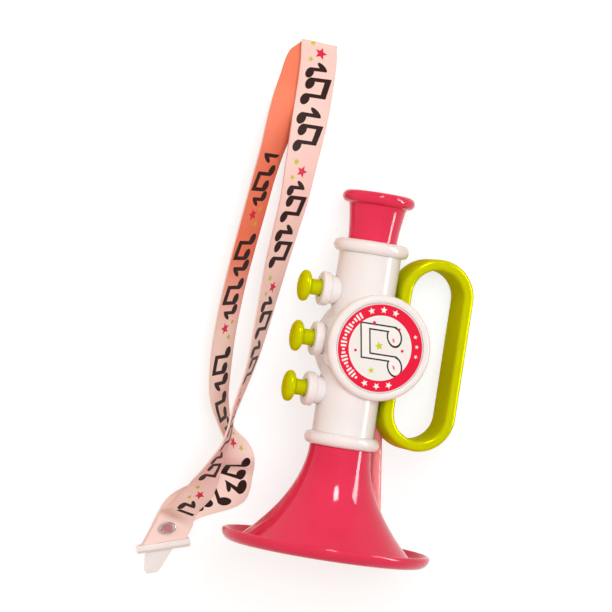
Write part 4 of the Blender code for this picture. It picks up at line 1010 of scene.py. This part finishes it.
# %% Guides and buttons
guide_profile = [
    (2.8, 10.21), (8.6, 10.21), (8.6, 12.11), (7.7, 12.11), (7.7, 18.6), (7.8, 19.6), (8.1, 20.2),
    *arc((8.15, 21.7), 1.2, -80, 0, 8), *arc((8.15, 24.3), 1.2, 0, 90, 10),
    *arc((5.45, 24.9), 0.6, 90, 180, 5), (4.85, 12.51), (2.8, 12.51),
]
guide = grow("button_guide", guide_profile, 72)
CAP_RADIUS, CAP_HALF, CAP_LEVEL, CAP_STEPS, CAP_POWER = 8.5, 3.2, 34.25, 28, 0.8
NECK = 4.9
cap = []
for i in range(1, CAP_STEPS):
    angle = pi / 2 - pi * i / CAP_STEPS
    rise = CAP_HALF * abs(sin(angle)) ** CAP_POWER * (1 if angle > 0 else -1)
    cap.append((CAP_RADIUS * cos(angle) ** CAP_POWER, CAP_LEVEL + rise))
button_profile = [(0, CAP_LEVEL + CAP_HALF), *((r, z) for r, z in cap if z > CAP_LEVEL or r > NECK)]
button_profile += [(4.6, 31.05), (4.35, 30.8), (4.35, 22.3), (4.05, 22.0)]
button_profile += [(2.5, 22.0), (2.5, 8.81), (0, 8.81)]
button = grow("button", button_profile, 72)
for k, level in enumerate(BUTTON_LEVELS, 1):
    where = LAY @ to_buttons(level)
    place_and_finish(copied(guide, f"guide_{k}"), where, white, f"button_guide_{k}")
    place_and_finish(copied(button, f"cap_{k}"), where, lime, f"button_{k}", f"press_{k}")
drop_blanks(guide, button)

# %% [markdown]
# ## Springs
# A wound spring stands between the guide's floor and the shoulder of the stem. The imported coils
# have the right shape, so each mesh is copied and its doubles are merged.

# %% Springs
SPRING_FOOT, SPRING_HEAD = 12.51 * MM, 22.0 * MM
for k, level in enumerate(BUTTON_LEVELS, 1):
    packed = frame["nodes"][f"button_spring_{k}"]
    spring = bpy.data.objects.new(f"spring_{k}", packed.data.copy())
    bpy.context.collection.objects.link(spring)
    edit(spring)
    close(spring)
    bpy.ops.object.shade_smooth_by_angle(angle=radians(75))
    coat(spring, steel)
    foot, head = (LAY @ to_buttons(level) @ Vector((0, 0, z)) for z in (SPRING_FOOT, SPRING_HEAD))
    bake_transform(spring)
    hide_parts(packed.name)
    print(spring.name, len(spring.data.polygons), "faces")

# %% [markdown]
# ## Screws
# Four pan-head screws hold the halves together, deep in their counterbores at the back. The head
# is domed and has a cross recess, which two bars cut out. The thread sits in its post and is only
# seen as a shank with a blunt tip.

# %% Screws
RECESS_HALF, RECESS_SLOT = 1.5, 0.28
screw_profile = [(0, -8.7), (0.5, -8.7), (1.3, -7.5), (1.3, 6.3), (2.6, 6.3)]
screw_profile += smoothed([(2.6, 7.3), (2.2, 7.9), (1.3, 8.15), (0, 8.2)], 4)
screw = grow("shell_screw", screw_profile, 40)
for x, y in ((RECESS_HALF, RECESS_SLOT), (RECESS_SLOT, RECESS_HALF)):
    combine(screw, block("recess", (-x, -y, 7.0), (x, y, 9)), "DIFFERENCE")
for k, place in enumerate(SCREW_PLACES, 1):
    where = LAY @ to_back(*place)
    place_and_finish(copied(screw, f"screw_{k}"), where, steel, f"shell_screw_{k}")
drop_blanks(screw)

# %% [markdown]
# ## Badge
# The badge is a thin printed disc in the drum's recess. Its print follows a UV map in millimetres
# from the middle, so that circles, stars and notes can be placed by radius and angle: a red ring
# with white stars and small bars, and a pale middle with two large quavers and smaller stars.

# %% Badge disc with its UV map
badge = grow("badge_disc", [(0, -21.0), (24.1, -21.0), (24.3, -20.8), (24.3, -20.1), (0, -20.1)], 160)
print_map = badge.data.uv_layers.new(name="print")
for loop in badge.data.loops:
    point = badge.data.vertices[loop.vertex_index].co
    print_map.data[loop.index].uv = (point.x / MM, -point.y / MM)
print("badge faces:", len(badge.data.polygons))

# %% Places round the badge's ring
RING_MIDDLE = 20.7


def ring_cell(angle, middle, step, spread):
    """The distance along the ring from the middle of the nearest repeat, and where they end."""
    away = (angle - middle).calc("WRAP", 180.0, -180.0)
    along = ((away + step / 2) % step - step / 2) * (RING_MIDDLE * pi / 180)
    return along, abs(away) - spread


# %% Group for the badge print
PAPER, RING, GLOSS = (0.86, 0.83, 0.815), (0.80, 0.014, 0.052), {"Specular IOR Level": 0.05}
badge_group, given, result = group("badge print", {
    "Colour": (*PAPER, 1), "Deep": (*RING, 1), "Ink": (0.030, 0.020, 0.022, 1),
})
u, v = mapped_place(badge_group, "print")
away = reach(u, v)
angle = v.calc("ARCTAN2", u) * (180 / pi)
out = away - RING_MIDDLE
ring = abs(away - 20.75) - 3.05
lip_line = abs(away - 17.45) - 0.25
along, outside = ring_cell(angle % 180.0, 93.1, 19.1, 28.6)
large_stars = largest(star(along, out, (0, 0), 1.95), outside)
along, outside = ring_cell(angle, 184.0, 5.4, 56.7)
wave = ((along * (-180 / pi / RING_MIDDLE) + angle) * 0.13).calc("SINE")
bars = largest(abs(along) - 0.52, abs(out) - (abs(wave) * 1.35 + 0.45), outside)
along, outside = ring_cell(angle, 10.0, 15.0, 22.5)
marks = smallest(large_stars, bars, largest(star(along, out, (0, 0), 1.15), outside))
print("ring marks:", len(badge_group.nodes), "nodes")

# %% Middle of the badge
DOTS = (((-3.0, 13.6), 0.8), ((0.2, -12.6), 0.8), ((13.2, 5.4), 0.9), ((11.6, -9.2), 0.6))
right, up = v, u * -1.0
notes = quavers(right, up, (-0.9, -0.4), 22.0)
shine = smallest(*(disc(right, up, at, (1.3, 0.6), 30) for at in ((-9.3, -9.2), (5.2, -6.8))))
sparks = smallest(star(right, up, (1.0, 0.8), 2.5), star(right, up, (-12.6, 3.2), 1.9))
dots = smallest(*(disc(right, up, at, (radius, radius)) for at, radius in DOTS))
shown = given["Colour"]
for shape, colour in (
    (lip_line, (0.92, 0.90, 0.89, 1)), (notes - 0.40, given["Ink"]), (notes + 0.45, (0.90, 0.86, 0.85, 1)),
    (shine, (0.90, 0.20, 0.22, 1)), (sparks, (0.60, 0.62, 0.02, 1)), (dots, given["Deep"]),
    (ring, given["Deep"]), (marks, (0.92, 0.88, 0.88, 1)),
):
    shown = blended(ink(shape, 0.2), shown, colour)
put(shown, result["Colour"])
place = own_place(badge_group)
dust = noise(place, 90, 4, 0.6).fit(2.6, -1.2)
put(dust * 0.08 + 0.36, result["Roughness"])
put(ink(smallest(notes, ring), 0.3) + noise(place, 700, 2), result["Height"])
badge_print = finish("badge print", badge_group, PAPER, RING, (0.12, 0.03 * MM), GLOSS)
place_and_finish(badge, LAY @ DRUM, badge_print, "badge")

# %% [markdown]
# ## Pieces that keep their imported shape
# The pads, duct, reed plate and reeds work out of sight, inside the housing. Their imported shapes
# are right, so they only get their finishes.

# %% Finishes of the inner pieces
INNER = {"button_pad": rubber, "air_duct": white, "reed_plate": white, "reed": brass}
for name, node in bpy.data.objects.items():
    found = [finish_of for start, finish_of in INNER.items() if name.startswith(start)]
    if node.type == "MESH" and name in frame["nodes"] and found:
        coat(node, found[0])
        print(name, "in", found[0].name)

# %% [markdown]
# ## The stage
# A plain white floor under soft studio light. A long strip light on the handle's side draws the
# long streak down the tube and the bell, a small softbox beyond the mouthpiece gives the short
# bright spots, and two large soft lamps and the surroundings fill the rest. The floor glows for
# rays that look at it, so it reads as white paper but keeps the toy's soft shadow.

# %% Floor
FLOOR_SIZE = 12
floor = added("floor", bpy.ops.mesh.primitive_plane_add, size=FLOOR_SIZE)


def for_viewers(tree):
    """1 for rays that look at a background, straight, in a mirror or through glass."""
    rays = tree.nodes.new("ShaderNodeLightPath").outputs
    return largest(*(Value(rays[f"Is {kind} Ray"]) for kind in ("Camera", "Glossy", "Transmission")))


paper = bpy.data.materials.new("white paper")
paper.use_nodes = True
tree = paper.node_tree
seen = for_viewers(tree)
pale = blended(noise(own_place(tree), 300), (0.37, 0.38, 0.39, 1), (0.39, 0.40, 0.41, 1))
settings = {
    "Base Color": blended(seen, (0.80, 0.60, 0.49, 1), pale), "Emission Strength": seen * 0.70,
    "Emission Color": (1, 1, 1, 1), "Roughness": 0.9, "Specular IOR Level": 0.1,
}
for label, value in settings.items():
    put(value, tree.nodes["Principled BSDF"].inputs[label])
floor.data.materials.append(paper)
print("floor:", FLOOR_SIZE, "m")

# %% Surroundings
AMBIENT = 0.56
world = bpy.data.worlds.new("surroundings")
bpy.context.scene.world = world
world.use_nodes = True
background = world.node_tree.nodes["Background"]
seen = for_viewers(world.node_tree)
put(seen * (1.0 - AMBIENT) + AMBIENT, background.inputs["Strength"])
put(blended(seen, (1.0, 0.71, 0.55, 1), (1, 1, 1, 1)), background.inputs["Color"])
bpy.context.scene.view_settings.view_transform = "Standard"
print("surroundings:", AMBIENT)


# %% Lamps
def lamp(name, where, target, size, power, colour=(1, 1, 1)):
    """A rectangular softbox that faces a target."""
    bpy.ops.object.light_add(type="AREA", location=where)
    light = bpy.context.object
    light.name = name
    light.data.shape = "RECTANGLE"
    light.data.size, light.data.size_y = size
    light.data.energy = power
    light.data.color = colour
    light.rotation_euler = (Vector(target) - Vector(where)).to_track_quat("-Z", "Y").to_euler()
    return light


fill = lamp("fill", (0.40, 0.70, 1.80), (0, 0, 0), (1.2, 1.2), 26.5, (0.745, 0.94, 1.0))
side = lamp("side", (-1.2, 0.75, 0.75), (0, 0, 0.03), (0.9, 0.9), 3.2, (1.0, 0.83, 0.76))
for soft in (fill, side):
    soft.visible_glossy = False
strip = lamp("strip", (1.25, 0.45, 0.24), (0, 0.02, 0.05), (1.3, 0.26), 29.0)
window = lamp("window", (0.17, 1.30, 0.86), (0, 0, 0.05), (0.26, 0.34), 12.0)
for shiny in (strip, window):
    shiny.visible_diffuse = False
